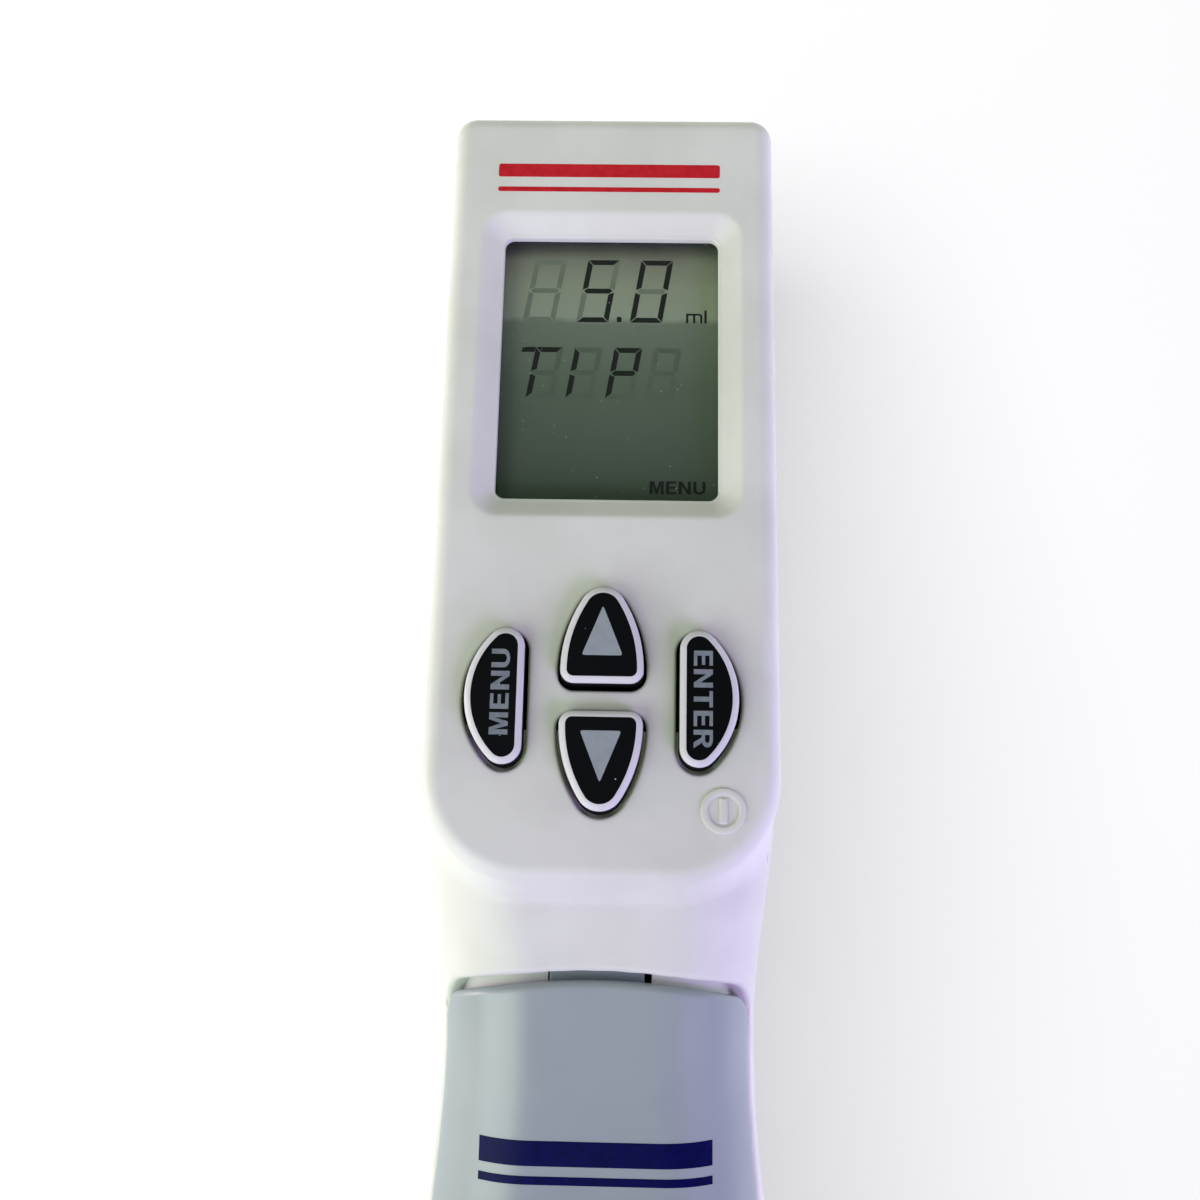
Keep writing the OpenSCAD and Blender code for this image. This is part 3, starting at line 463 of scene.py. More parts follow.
class MeshMaker:
    """Gathers point grids and faces of one piece in millimetres, then makes its closed mesh in metres."""

    def __init__(self) -> None:
        """Starts with no points."""
        self.points: list[np.ndarray] = []
        self.faces: list[list[int]] = []
        self.finish_of: list[int] = []
        self.count = 0

    def add(self, points: np.ndarray) -> np.ndarray:
        """Adds points.

        Args:
            points: array of any shape that ends in 3.

        Returns:
            Their numbers, in an array of the same leading shape.
        """
        flat = np.asarray(points, float).reshape(-1, 3)
        numbers = np.arange(self.count, self.count + len(flat)).reshape(np.shape(points)[:-1])
        self.points.append(flat)
        self.count += len(flat)
        return numbers

    def put(self, faces: np.ndarray, finish: int | np.ndarray = 0) -> None:
        """Adds faces of point numbers, each with the number of its finish."""
        self.faces.extend(faces.tolist())
        self.finish_of.extend(np.broadcast_to(finish, len(faces)).tolist())

    def skin(
        self, grid: np.ndarray, close_rows: bool = False, close_columns: bool = False,
        finish: int | Sequence[int] = 0,
    ) -> None:
        """Joins neighbours of a grid of point numbers by four-sided faces.

        Args:
            grid: rows by columns of point numbers.
            close_rows: joins the last row to the first.
            close_columns: joins the last column to the first.
            finish: one number for all, or one for each strip between two rows.
        """
        if close_rows:
            grid = np.vstack([grid, grid[:1]])
        if close_columns:
            grid = np.hstack([grid, grid[:, :1]])
        per_face = np.repeat(np.broadcast_to(finish, len(grid) - 1), grid.shape[1] - 1)
        self.put(quads(grid).reshape(-1, 4), per_face)

    def fill(self, loops: Sequence[np.ndarray], finish: int = 0) -> None:
        """Fills the flat region between an outer loop and any holes in it with triangles.

        Args:
            loops: point numbers of the outer loop, then of each hole.
            finish: number of the finish.
        """
        every = np.vstack(self.points)
        numbers = np.concatenate(loops)
        outline = [[Vector(p) for p in every[loop]] for loop in loops]
        triangles = np.array(tessellate_polygon(outline), int).reshape(-1, 3)
        self.put(numbers[triangles], finish)

    def loft(
        self, rings: np.ndarray, finish: int | Sequence[int] = 0, caps: tuple[int, int] = (0, 0),
    ) -> np.ndarray:
        """Joins closed rings one after another and closes both ends flat.

        Args:
            rings: ring by point by 3.
            finish: one number, or one for each strip.
            caps: finish numbers of the first and last cap.

        Returns:
            The grid of point numbers.
        """
        grid = self.add(rings)
        self.skin(grid, close_columns=True, finish=finish)
        self.fill([grid[0]], caps[0])
        self.fill([grid[-1]], caps[1])
        return grid

    def film(self, loops: Sequence[np.ndarray], n: float, thick: float = 0.06) -> None:
        """Adds a thin flat piece on the leaning face, bounded by an outer loop and any holes in it.

        Args:
            loops: loops in (u, v).
            n: height of its top out of the face.
            thick: its thickness.
        """
        top = [self.add(Face().place(loop, n)) for loop in loops]
        under = [self.add(Face().place(loop, n - thick)) for loop in loops]
        self.fill(top)
        self.fill(under)
        for a, b in zip(top, under):
            self.skin(np.stack([a, b]), close_columns=True)

    def wall(self, outer: np.ndarray, inner: np.ndarray, keep: np.ndarray | None = None, finish: int = 0) -> None:
        """Makes a closed wall of two sheets of the same grid.

        Every kept cell gets a face on both sheets, and every edge between a kept cell and none gets a face
        from one sheet to the other.

        Args:
            outer: rows by columns by 3.
            inner: the same grid on the inside.
            keep: which cells are there, all where it is None.
            finish: number of the finish.
        """
        rows, columns = outer.shape[0] - 1, outer.shape[1] - 1
        keep = np.ones((rows, columns), bool) if keep is None else keep
        out, back = self.add(outer), self.add(inner)
        for sheet in (out, back):
            self.put(quads(sheet)[keep], finish)
        padded = np.pad(keep, 1)
        across = padded[1:-1, :-1] != padded[1:-1, 1:]
        i, j = np.nonzero(across)
        self.put(np.stack([out[i, j], out[i + 1, j], back[i + 1, j], back[i, j]], -1), finish)
        along_rows = padded[:-1, 1:-1] != padded[1:, 1:-1]
        i, j = np.nonzero(along_rows)
        self.put(np.stack([out[i, j], out[i, j + 1], back[i, j + 1], back[i, j]], -1), finish)

    def piece(
        self, name: str, body: str, finishes: Sequence, slot: str = "", replaces: Iterable[str] = (),
        sharp: float = 30.0,
    ) -> bpy.types.Object:
        """Makes the piece: merges its doubles, turns its faces outwards and rides it on its body.

        Args:
            name: the piece's name.
            body: the CAD body that it rides on.
            finishes: the finishes that its face numbers stand for.
            slot: the record's material slot, if any; not used.
            replaces: CAD nodes that it stands for.
            sharp: angle in degrees from which an edge is sharp.

        Returns:
            The new object.
        """
        mesh = bpy.data.meshes.new(name)
        mesh.from_pydata((np.vstack(self.points) * MM).tolist(), [], self.faces)
        mesh.polygons.foreach_set("material_index", np.array(self.finish_of, np.int32))
        sculpt = bmesh.new()
        sculpt.from_mesh(mesh)
        bmesh.ops.remove_doubles(sculpt, verts=sculpt.verts, dist=1e-6)
        loose = [v for v in sculpt.verts if not v.link_faces]
        bmesh.ops.delete(sculpt, geom=loose, context="VERTS")
        bmesh.ops.recalc_face_normals(sculpt, faces=sculpt.faces)
        sculpt.to_mesh(mesh)
        sculpt.free()
        made = add_object(name, mesh)
        dress(made, finishes, sharp)
        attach(made, body)
        if replaces:
            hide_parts(*replaces)
        LOG.info("%s: %d faces, on %s", name, len(mesh.polygons), body)
        return made


def dress(piece: bpy.types.Object, finishes: Sequence, sharp: float = 30.0) -> None:
    """Gives a piece its finishes and smooth shading with sharp edges.

    Args:
        piece: the object.
        finishes: its finishes in the order of the faces' numbers.
        sharp: angle in degrees from which an edge is sharp.
    """
    for finish in finishes:
        piece.data.materials.append(Finishes.get(finish))
    piece.data.polygons.foreach_set("use_smooth", np.ones(len(piece.data.polygons), bool))
    piece.data.set_sharp_from_angle(angle=math.radians(sharp))
    piece.data.update()


def drill(
    piece: bpy.types.Object, start: Sequence[float], towards: Sequence[float], radius: float, depth: float,
) -> None:
    """Cuts a round hole in a piece.

    Args:
        piece: the piece.
        start: the hole's mouth, in mm.
        towards: its direction.
        radius: its radius in mm.
        depth: its depth in mm.
    """
    turn = np.linspace(0, 2 * math.pi, 48, endpoint=False)
    mouth = np.stack([radius * np.cos(turn), radius * np.sin(turn), 0 * turn], -1)
    rings = np.stack([mouth, mouth + (0, 0, depth)])
    basis = np.array(Vector(towards).to_track_quat("Z", "Y").to_matrix())
    bit = MeshMaker()
    bit.loft(rings @ basis.T + np.array(start, float))
    cutter = bit.piece("cutter", "shell", [Finishes.WHITE])
    change = piece.modifiers.new("hole", "BOOLEAN")
    change.operation, change.object, change.solver = "DIFFERENCE", cutter, "EXACT"
    bpy.context.view_layer.update()
    cut = bpy.data.meshes.new_from_object(piece.evaluated_get(bpy.context.evaluated_depsgraph_get()))
    piece.modifiers.clear()
    old, piece.data = piece.data, cut
    bpy.data.meshes.remove(old)
    bpy.data.objects.remove(cutter)
    piece.data.set_sharp_from_angle(angle=math.radians(30))


def turned_over(r: float, past: np.ndarray) -> np.ndarray:
    """How far a round edge of radius r has sunk at a distance past its start: r - sqrt(r^2 - past^2)."""
    return r - np.sqrt(np.maximum(r * r - past * past, 0))


def quarter(steps: int) -> np.ndarray:
    """Angles from 0 to a quarter turn in even steps."""
    return np.linspace(0, math.pi / 2, steps + 1)


# ---- forms ------------------------------------------------------------------------


@dataclass(frozen=True)
class Face:
    """The leaning face: u to the right, v up the face, n out of it, through a point of the frame."""

    y: float = -18.0
    z: float = 161.6
    lean: float = math.radians(15)

    def place(self, uv: np.ndarray, n: np.ndarray | float) -> np.ndarray:
        """Places face coordinates in the frame: x = u, y and z by turning v and n through the lean.

        Args:
            uv: array that ends in 2.
            n: height out of the face.

        Returns:
            Array that ends in 3, in mm.
        """
        u, v = uv[..., 0], uv[..., 1]
        c, s = math.cos(self.lean), math.sin(self.lean)
        return np.stack([u + 0 * n, self.y + v * s - n * c, self.z + v * c + n * s], -1)

    def measure(self, points: np.ndarray) -> tuple[np.ndarray, np.ndarray, np.ndarray]:
        """Returns u, v and n of points in the frame."""
        y, z = points[..., 1] - self.y, points[..., 2] - self.z
        c, s = math.cos(self.lean), math.sin(self.lean)
        return points[..., 0], y * s + z * c, z * s - y * c


@dataclass(frozen=True)
class Outline:
    """A closed outline of arcs joined by straight lines, which keeps its corners' centres as it grows.

    Each arc is (centre u, centre v, radius, first angle, last angle, steps), in degrees and counter-clockwise.
    """

    arcs: tuple[tuple[float, float, float, float, float, int], ...]
    lines: int = 1

    def ring(self, grow: float = 0.0) -> np.ndarray:
        """Points of the outline grown outwards: centre + (radius + grow) (cos a, sin a), lines cut evenly.

        Args:
            grow: how far it grows, negative inwards.

        Returns:
            Points by 2.
        """
        runs = []
        for u, v, r, a0, a1, steps in self.arcs:
            a = np.radians(np.linspace(a0, a1, steps + 1))
            reach = max(r + grow, 0.02)
            runs.append(np.stack([u + reach * np.cos(a), v + reach * np.sin(a)], -1))
        parts = []
        for run, following in zip(runs, runs[1:] + runs[:1]):
            share = np.linspace(0, 1, self.lines + 1)[1:-1, None]
            parts += [run, run[-1] + (following[0] - run[-1]) * share]
        return np.vstack(parts)

    def rings(self, profile: Sequence[tuple[float, float]], face: Face) -> np.ndarray:
        """Rings along a profile of (grow, n), placed on the face."""
        return np.stack([face.place(self.ring(grow), n) for grow, n in profile])

    def moved(self, u: float, v: float, turn: float = 0.0) -> Outline:
        """The outline turned by some degrees and moved."""
        c, s = math.cos(math.radians(turn)), math.sin(math.radians(turn))
        arcs = tuple(
            (a * c - b * s + u, a * s + b * c + v, r, a0 + turn, a1 + turn, k)
            for a, b, r, a0, a1, k in self.arcs
        )
        return Outline(arcs, self.lines)


def rounded_box(width: float, length: float, r: float, steps: int = 8, lines: int = 1) -> Outline:
    """A rectangle with round corners, centred on nothing: width along u, length along v."""
    a, b = width / 2 - r, length / 2 - r
    corners = ((a, -b, -90), (a, b, 0), (-a, b, 90), (-a, -b, 180))
    return Outline(tuple((x, y, r, t, t + 90, steps) for x, y, t in corners), lines)


def circle(r: float, steps: int = 48) -> Outline:
    """A circle as an outline of one arc that stops a step before its start."""
    return Outline(((0, 0, r, 0, 360 * (steps - 1) / steps, steps - 1),))


def smooth_loop(corners: Sequence[tuple[float, float]], spacing: float, passes: int) -> np.ndarray:
    """A closed polygon cut into even steps, whose corners are rounded by averaging each point with its neighbours.

    Args:
        corners: the polygon's corners.
        spacing: length of a step.
        passes: how often the points are averaged.

    Returns:
        Points by 2.
    """
    start = np.array(corners, float)
    ends = np.vstack([start, start[:1]])
    run = np.concatenate([[0], np.cumsum(np.hypot(*np.diff(ends, axis=0).T))])
    at = np.linspace(0, run[-1], int(run[-1] / spacing) + 1)[:-1]
    loop = np.stack([np.interp(at, run, ends[:, k]) for k in (0, 1)], -1)
    for _ in range(passes):
        loop = (np.roll(loop, 1, 0) + 2 * loop + np.roll(loop, -1, 0)) / 4
    return loop


def inset_loop(loop: np.ndarray, inset: float) -> np.ndarray:
    """A loop drawn in along its own normals, which come from the neighbours' difference."""
    step = np.roll(loop, -1, 0) - np.roll(loop, 1, 0)
    step /= np.linalg.norm(step, axis=1, keepdims=True)
    area = np.sum(loop[:, 0] * np.roll(loop[:, 1], -1) - np.roll(loop[:, 0], -1) * loop[:, 1])
    return loop + inset * np.sign(area) * np.stack([-step[:, 1], step[:, 0]], -1)


def slab_rings(loop: np.ndarray, half: float, edge: float, steps: int = 5) -> np.ndarray:
    """Rings of a loop in (y, z) carried across x from -half to half, with its edges rounded.

    The rounding draws the loop in by edge (1 - sin a) while x goes on by edge (1 - cos a).

    Args:
        loop: points by 2.
        half: half the width across x.
        edge: radius of the round edges.
        steps: steps of a quarter turn.

    Returns:
        Ring by point by 3.
    """
    a = quarter(steps)
    inset = edge * (1 - np.sin(a))
    out = half - edge * (1 - np.cos(a))[::-1]
    xs = np.concatenate([-half + edge * (1 - np.cos(a)), out])
    ins = np.concatenate([inset, inset[::-1]])
    rings = [inset_loop(loop, i) for i in ins]
    return np.stack([np.column_stack([np.full(len(r), x), r]) for x, r in zip(xs, rings)])


@dataclass(frozen=True)
class Grip:
    """The waisted grip: round-cornered sections whose width, front and back glide between stations of height."""

    widths: np.ndarray = field(default_factory=lambda: np.array(
        [[20, 18.2], [74, 24.4], [128, 20.2], [158, 22.6], [190, 19]], float,
    ))
    fronts: np.ndarray = field(default_factory=lambda: np.array(
        [[20, -16.6], [74, -21.4], [134, -18.7], [158, -18], [190, 2]], float,
    ))
    backs: np.ndarray = field(default_factory=lambda: np.array(
        [[20, 15.6], [84, 17.4], [148, 12.8], [190, 14.6]], float,
    ))
    corner: float = 13.0
    parting: float = -4.2

    @staticmethod
    def along(z: np.ndarray, stations: np.ndarray) -> np.ndarray:
        """Value at height z: a half cosine wave from one station to the next."""
        zs, values = stations.T
        i = np.clip(np.searchsorted(zs, z) - 1, 0, len(zs) - 2)
        t = np.clip((z - zs[i]) / (zs[i + 1] - zs[i]), 0, 1)
        return values[i] + (values[i + 1] - values[i]) * (1 - np.cos(math.pi * t)) / 2

    def section(self, z: np.ndarray) -> tuple[np.ndarray, np.ndarray, np.ndarray, np.ndarray]:
        """Half width, front, back and corner radius at height z."""
        front, back = self.along(z, self.fronts), self.along(z, self.backs)
        return self.along(z, self.widths), front, back, np.minimum(self.corner, (back - front) / 2 - 0.5)

    def skin(self, s: np.ndarray, z: np.ndarray, inset: np.ndarray | float, rear: bool = False) -> np.ndarray:
        """Point at the distance s round the section from the middle of its front, or of its back.

        Up to half the flat length the point runs across, then round the corner, then along the flat side.

        Args:
            s: distance in mm, negative to the left.
            z: height in mm.
            inset: how far inside the outer skin.
            rear: measures from the back instead of the front.

        Returns:
            Points in mm.
        """
        half, front, back, r = self.section(z)
        flat = half - r
        over = np.abs(s) - flat
        turn = np.clip(over / r, 0, math.pi / 2)
        side = np.maximum(over - r * math.pi / 2, 0)
        x = np.sign(s) * (np.minimum(np.abs(s), flat) + (r - inset) * np.sin(turn))
        face, way = (back, -1.0) if rear else (front, 1.0)
        y = face + way * (r - (r - inset) * np.cos(turn) + side)
        return np.stack(np.broadcast_arrays(x, y, z + 0 * s), -1)

    def seam(self, z: np.ndarray, degrees: float) -> np.ndarray:
        """Distance from the front's middle to where the corner has turned by some degrees."""
        half, _, _, r = self.section(z)
        return half - r + r * math.radians(degrees)

    def half_turn(self, z: np.ndarray, rear: bool) -> np.ndarray:
        """Distance from the middle of the front or back to the parting of the two housings."""
        half, front, back, r = self.section(z)
        depth = back - self.parting if rear else self.parting - front
        turn = np.arccos(np.clip((r - depth) / r, 0, 1))
        return half - r + r * turn + np.maximum(depth - r, 0)


@dataclass(frozen=True)
class Opening:
    """The arched opening of the front housing, which the battery cover fills."""

    lip: float = 137.1
    arch: float = 75.0
    corner: float = 6.0
    reach: float = 23.62
    slot: float = 1.4
    floor: float = 24.0
    seam: float = 70.0

    def edge(self, q: np.ndarray, drawn_in: float = 0.0) -> np.ndarray:
        """Height of the opening's edge: a shallow arch s^2 / (2 R) that turns down through a round corner.

        Args:
            q: share of the way from the middle to the side seam.
            drawn_in: how much shorter the half-length is.

        Returns:
            Height in mm.
        """
        reach = self.reach - drawn_in
        s = np.abs(q) * reach
        over = np.maximum(0, s - (reach - self.corner))
        return self.lip - s * s / (2 * self.arch) - turned_over(self.corner, over)


def rounding(points: np.ndarray, edge: np.ndarray, r: float) -> np.ndarray:
    """How far a skin sinks near an edge where it turns over on a radius: turned_over(r, r - d) at distance d.

    Args:
        points: rows by columns by 3.
        edge: points of the edge by 3.
        r: the radius.

    Returns:
        Rows by columns.
    """
    flat = points.reshape(-1, 3)
    nearest = np.full(len(flat), 1e9)
    for part in np.array_split(edge, max(1, len(edge) // 200)):
        apart = np.linalg.norm(flat[:, None, :] - part[None], axis=2).min(1)
        nearest = np.minimum(nearest, apart)
    return turned_over(r, np.clip(r - nearest, 0, r)).reshape(points.shape[:-1])


# ---- sub-assemblies ---------------------------------------------------------------


@dataclass
class Head:
    """The leaning head: a front plate with its display recess and key holes, and the back of the rear housing."""

    face: Face = field(default_factory=Face)
    grip: Grip = field(default_factory=Grip)
    half: float = 22.3
    half_top: float = 22.0
    bottom: float = -14.0
    top: float = 91.8
    chin_r: float = 13.5
    corner_r: float = 3.0
    edge_r: float = 2.3
    back_r: float = 3.0
    thick: float = 25.0
    parting: float = -12.8
    wall: float = 2.2
    window_v: float = 54.6
    window: tuple[float, float] = (29.2, 37.8)
    recess: float = 2.8
    slope: float = 3.0
    key_gap: float = 0.36
    key_hole_r: float = 0.45
    mark: tuple[float, float] = (15.1, -4.75)
    mark_r: tuple[float, float] = (2.78, 1.92)
    mark_bar: tuple[float, float] = (0.95, 3.05)
    neck_bite: float = 1.2
    neck_end: float = 164.0
    flank: float = -17.0

    def outline(self) -> Outline:
        """The head's outline: two round chin corners, sides that taper a little, two small top corners.

        Returns:
            The outline, without any growth.
        """
        a, b, c = self.half - self.chin_r, self.half_top - self.corner_r, self.bottom + self.chin_r
        t = self.top - self.corner_r
        return Outline(
            (
                (a, c, self.chin_r, -90, 0, 40),
                (b, t, self.corner_r, 0, 90, 14),
                (-b, t, self.corner_r, 90, 180, 14),
                (-a, c, self.chin_r, 180, 270, 40),
            ),
            lines=26,
        )

    def distance(self, u: np.ndarray, v: np.ndarray) -> np.ndarray:
        """Distance outside the head's outline, negative inside: to two discs below, to the side line above."""
        c = self.bottom + self.chin_r
        below = np.hypot(np.maximum(np.abs(u) - (self.half - self.chin_r), 0), v - c) - self.chin_r
        return np.where(v < c, below, np.abs(u) - self.half)

    def skirt_end(self, ring: np.ndarray) -> np.ndarray:
        """Where the front plate's skirt stops: at the parting, or a little inside the neck where it meets that.

        Args:
            ring: the head's outline, points by 2.

        Returns:
            Height out of the face at each point.
        """
        depth = np.linspace(0, self.parting, 220)
        points = self.face.place(ring[None], depth[:, None])
        half, front, back, r = self.grip.section(points[..., 2])
        middle = (front + back) / 2
        qx = np.abs(points[..., 0]) - (half - r)
        qy = np.abs(points[..., 1] - middle) - ((back - front) / 2 - r)
        gap = np.hypot(np.maximum(qx, 0), np.maximum(qy, 0)) + np.minimum(np.maximum(qx, qy), 0) - r
        inside = (gap < -self.neck_bite) & (points[..., 2] < self.neck_end)
        first = np.where(inside.any(0), inside.argmax(0), len(depth) - 1)
        return depth[first]

    def recess_ring(self, q: float) -> np.ndarray:
        """The display recess's outline q mm outside the window: its corner radius grows from 1.3 to 3.5 mm."""
        w, l = self.window
        r = 1.3 + 2.2 * min(q / self.slope, 1.1)
        return rounded_box(w + 2 * q, l + 2 * q, r, 10).moved(0, self.window_v).ring()

    def build_front(self, keys: Keypad, maker: MeshMaker) -> None:
        """Adds the front plate: face, edge rounding, skirt, recess and key holes as one closed shell.

        Args:
            keys: the keys, whose outlines make the holes.
            maker: what gathers the shell.
        """
        outline, face = self.outline(), self.face
        a = quarter(10)
        profile = [(-self.edge_r - 0.3, 0.0)]
        profile += [(self.edge_r * (np.sin(t) - 1), self.edge_r * (np.cos(t) - 1)) for t in a]
        edge = maker.add(outline.rings(profile, face))
        maker.skin(edge, close_columns=True)
        end = self.skirt_end(outline.ring())
        rows = [face.place(outline.ring(), -self.edge_r + (end + 0.3 + self.edge_r) * t) for t in (0, 0.5, 1)]
        rows += [face.place(outline.ring(-0.1), end + 0.06), face.place(outline.ring(-0.3), end)]
        rows += [face.place(outline.ring(-self.wall), end)]
        rows += [face.place(outline.ring(-self.wall), np.full(len(end), -self.recess))]
        skirt = maker.add(np.stack(rows))
        maker.skin(skirt, close_columns=True)
        # Recess: flat brim, soft shoulder, straight slope, small rounded lip at the window.
        recess = [
            (3.5, 0.0), (3.3, 0.0), (3.1, -0.02), (2.9, -0.08), (2.7, -0.17), (2.5, -0.29), (2.2, -0.49),
            (1.7, -0.84), (1.2, -1.18), (0.7, -1.52), (0.5, -1.65), (0.4, -1.7), (0.28, -1.73), (0.16, -1.78),
            (0.06, -1.87), (0.0, -2.02), (0.0, -self.recess),
        ]
        sink = maker.add(np.stack([face.place(self.recess_ring(q), n) for q, n in recess]))
        maker.skin(sink, close_columns=True)
        outer, inner = [edge[0], sink[0]], [skirt[-1], sink[-1]]
        r = self.key_hole_r
        for key in keys.outlines().values():
            key = key.moved(0, -0.2)
            hole = [(self.key_gap + r + 0.25, 0.0)]
            hole += [(self.key_gap + r * (1 - np.sin(t)), r * (np.cos(t) - 1)) for t in quarter(6)]
            hole += [(self.key_gap, -self.recess)]
            cut = maker.add(key.rings(hole, face))
            maker.skin(cut, close_columns=True)
            outer.append(cut[0])
            inner.append(cut[-1])
        maker.fill(outer)
        maker.fill(inner)

    def build_power_mark(self, maker: MeshMaker) -> None:
        """Adds the raised ring and bar moulded on the face, each a low closed form with rounded edges.

        Args:
            maker: what gathers the shell.
        """
        up = [(0.0, -0.05), (0.0, 0.14), (-0.03, 0.19), (-0.09, 0.22)]
        outer, inner = (circle(r).moved(*self.mark) for r in self.mark_r)
        path = [(outer, g, n) for g, n in up] + [(inner, -g, n) for g, n in up[::-1]]
        ring = maker.add(np.stack([self.face.place(o.ring(g), n) for o, g, n in path]))
        maker.skin(ring, close_rows=True, close_columns=True)
        bar = rounded_box(*self.mark_bar, 0.12, 4).moved(*self.mark)
        maker.loft(bar.rings(up, self.face))

    def build_back(self, maker: MeshMaker) -> None:
        """Adds the rear housing's head: skirt, rounded back edge and flat back with its three holes.

        Args:
            maker: what gathers the shell.
        """
        outline, face = self.outline(), self.face
        start = self.parting - 0.05
        back = -self.thick
        profile = [
            (-self.wall, back + self.wall), (-self.wall, start), (-0.3, start), (-0.1, start - 0.06),
            (0.0, start - 0.3), (0.0, self.flank),
        ]
        profile += [(self.back_r * (np.cos(t) - 1), back + self.back_r * (1 - np.sin(t))) for t in quarter(10)]
        profile += [(-self.back_r - 0.3, back)]
        shell = maker.add(outline.rings(profile, face))
        maker.skin(shell, close_columns=True)
        outer, inner = [shell[-1]], [shell[0]]
        rim = 0.3
        for u, v, r in ((0.0, self.top - 24.5, 3.2), (-15.0, self.top - 6.5, 2.4), (15.0, self.top - 6.5, 2.4)):
            hole = [(2 * rim, back), (rim, back)]
            hole += [(rim * (1 - np.sin(t)), back + rim * (1 - np.cos(t))) for t in quarter(4)]
            hole += [(0.0, back + self.wall)]
            cut = maker.add(circle(r).moved(u, v).rings(hole, face))
            maker.skin(cut, close_columns=True)
            outer.append(cut[0])
            inner.append(cut[-1])
        maker.fill(outer)
        maker.fill(inner)

    def build_print(self) -> None:
        """Adds the plain red rules printed above the display, a film 0.03 mm thick."""
        maker = MeshMaker()
        for v, height in ((82.9, 2.0), (80.0, 0.7)):
            bar = rounded_box(30.4, height, min(0.3, height / 2 - 0.02), 4).moved(-0.5, v)
            maker.loft(bar.rings([(0, -FILM_UNDER), (0, FILM_OVER)], self.face))
        maker.piece("red_rules", "shell", [Finishes.RED])


class Arrow(Enum):
    """Which way an arrow key points."""

    UP = 1
    DOWN = -1


@dataclass
class Keypad:
    """Two bullet-shaped arrow keys and two half-moon keys: black rubber with a bevelled white rim."""

    face: Face = field(default_factory=Face)
    arrow_w: float = 10.4
    arrow_bend: float = 17.5
    arrow_r: float = 1.7
    tip_r: float = 3.0
    up_v: float = 10.5
    down_v: float = 7.1
    moon_w: float = 7.35
    moon_x: float = 9.62
    moon_v: float = 8.85
    moon_bend: float = 11.2
    moon_r: float = 2.4
    rise: float = 1.9

    def arrow(self, way: Arrow) -> Outline:
        """An arrow key: a straight foot and two arcs that lean together to a round point.

        Args:
            way: which way it points.

        Returns:
            The key's outline on the face.
        """
        w, bend, r, tip_r = self.arrow_w / 2, self.arrow_bend, self.arrow_r, self.tip_r
        reach = bend - w
        tip = math.sqrt((bend - tip_r) ** 2 - reach**2)
        lean = math.degrees(math.atan2(tip, reach))
        foot = w - r
        arcs = (
            (foot, r, r, -90, 0, 8),
            (-reach, r, bend, 0, lean, 20),
            (0, r + tip, tip_r, lean, 180 - lean, 20),
            (reach, r, bend, 180 - lean, 180, 20),
            (-foot, r, r, 180, 270, 8),
        )
        up = Outline(arcs, lines=2)
        return up.moved(0, self.up_v) if way is Arrow.UP else up.moved(0, self.down_v, 180)

    def moon(self, right: bool) -> Outline:
        """A half-moon key: a straight side towards the middle and one arc, joined by round corners.

        Args:
            right: whether it is the right one.

        Returns:
            The key's outline on the face.
        """
        w, r, bend = self.moon_w, self.moon_r, self.moon_bend
        c = w - bend
        y = math.sqrt((bend - r) ** 2 - (r - c) ** 2)
        lean = math.degrees(math.atan2(y, r - c))
        shape = Outline(
            ((c, 0, bend, -lean, lean, 30), (r, y, r, lean, 180, 16), (r, -y, r, 180, 360 - lean, 16)),
            lines=2,
        )
        return shape.moved(self.moon_x, self.moon_v) if right else shape.moved(-self.moon_x, self.moon_v, 180)

    def outlines(self) -> dict[str, Outline]:
        """The four outlines by name."""
        return {
            "up": self.arrow(Arrow.UP),
            "down": self.arrow(Arrow.DOWN),
            "menu": self.moon(False),
            "enter": self.moon(True),
        }

    def build(self) -> None:
        """Builds each key as rings along one profile: black side, white bevelled rim, black top."""
        top = self.rise
        side = [
            (0.7, -3.6), (0.7, -3.0), (0.08, -3.0), (0.05, -2.6), (0.03, 0.0), (0.0, top - 0.62),
            (-0.01, top - 0.56), (-0.03, top - 0.53),
        ]
        rim = [
            (-0.04, top - 0.5), (-0.14, top - 0.36), (-0.3, top - 0.22), (-0.5, top - 0.09),
            (-0.68, top - 0.02), (-0.84, top),
        ]
        lid = [(-0.85, top - 0.03), (-0.9, top - 0.05), (-0.98, top - 0.05)]
        profile = side + rim + lid
        finish = [0] * (len(side) - 1) + [1] * len(rim) + [0] * len(lid)
        for name, outline in self.outlines().items():
            maker = MeshMaker()
            maker.loft(outline.rings(profile, self.face), finish)
            maker.piece(
                f"{name}_key_cap", f"key_{name}_body", [Finishes.RUBBER, Finishes.RIM], "key_rubber",
                [f"key_{name}"], sharp=50,
            )
        for name, v, way in (("up", 17.2, 1), ("down", 1.35, -1)):
            tall, half = 6.4 / 2, 2.55
            loop = smooth_loop([(-half, v - way * tall), (half, v - way * tall), (0, v + way * tall)], 0.2, 3)
            maker = MeshMaker()
            maker.loft(np.stack([self.face.place(loop, top - 0.08), self.face.place(loop, top - 0.02)]))
            maker.piece(f"{name}_arrow_print", f"key_{name}_body", [Finishes.ARROW])
        Letters().draw(
            "MENU", (-12.52, 9.23), (10.75, 2.3), 90, top - 0.02, "menu_print", "key_menu_body",
            Finishes.LEGEND,
        )
        Letters().draw(
            "ENTER", (12.52, 8.67), (12.2, 2.35), -90, top - 0.02, "enter_print", "key_enter_body",
            Finishes.LEGEND,
        )


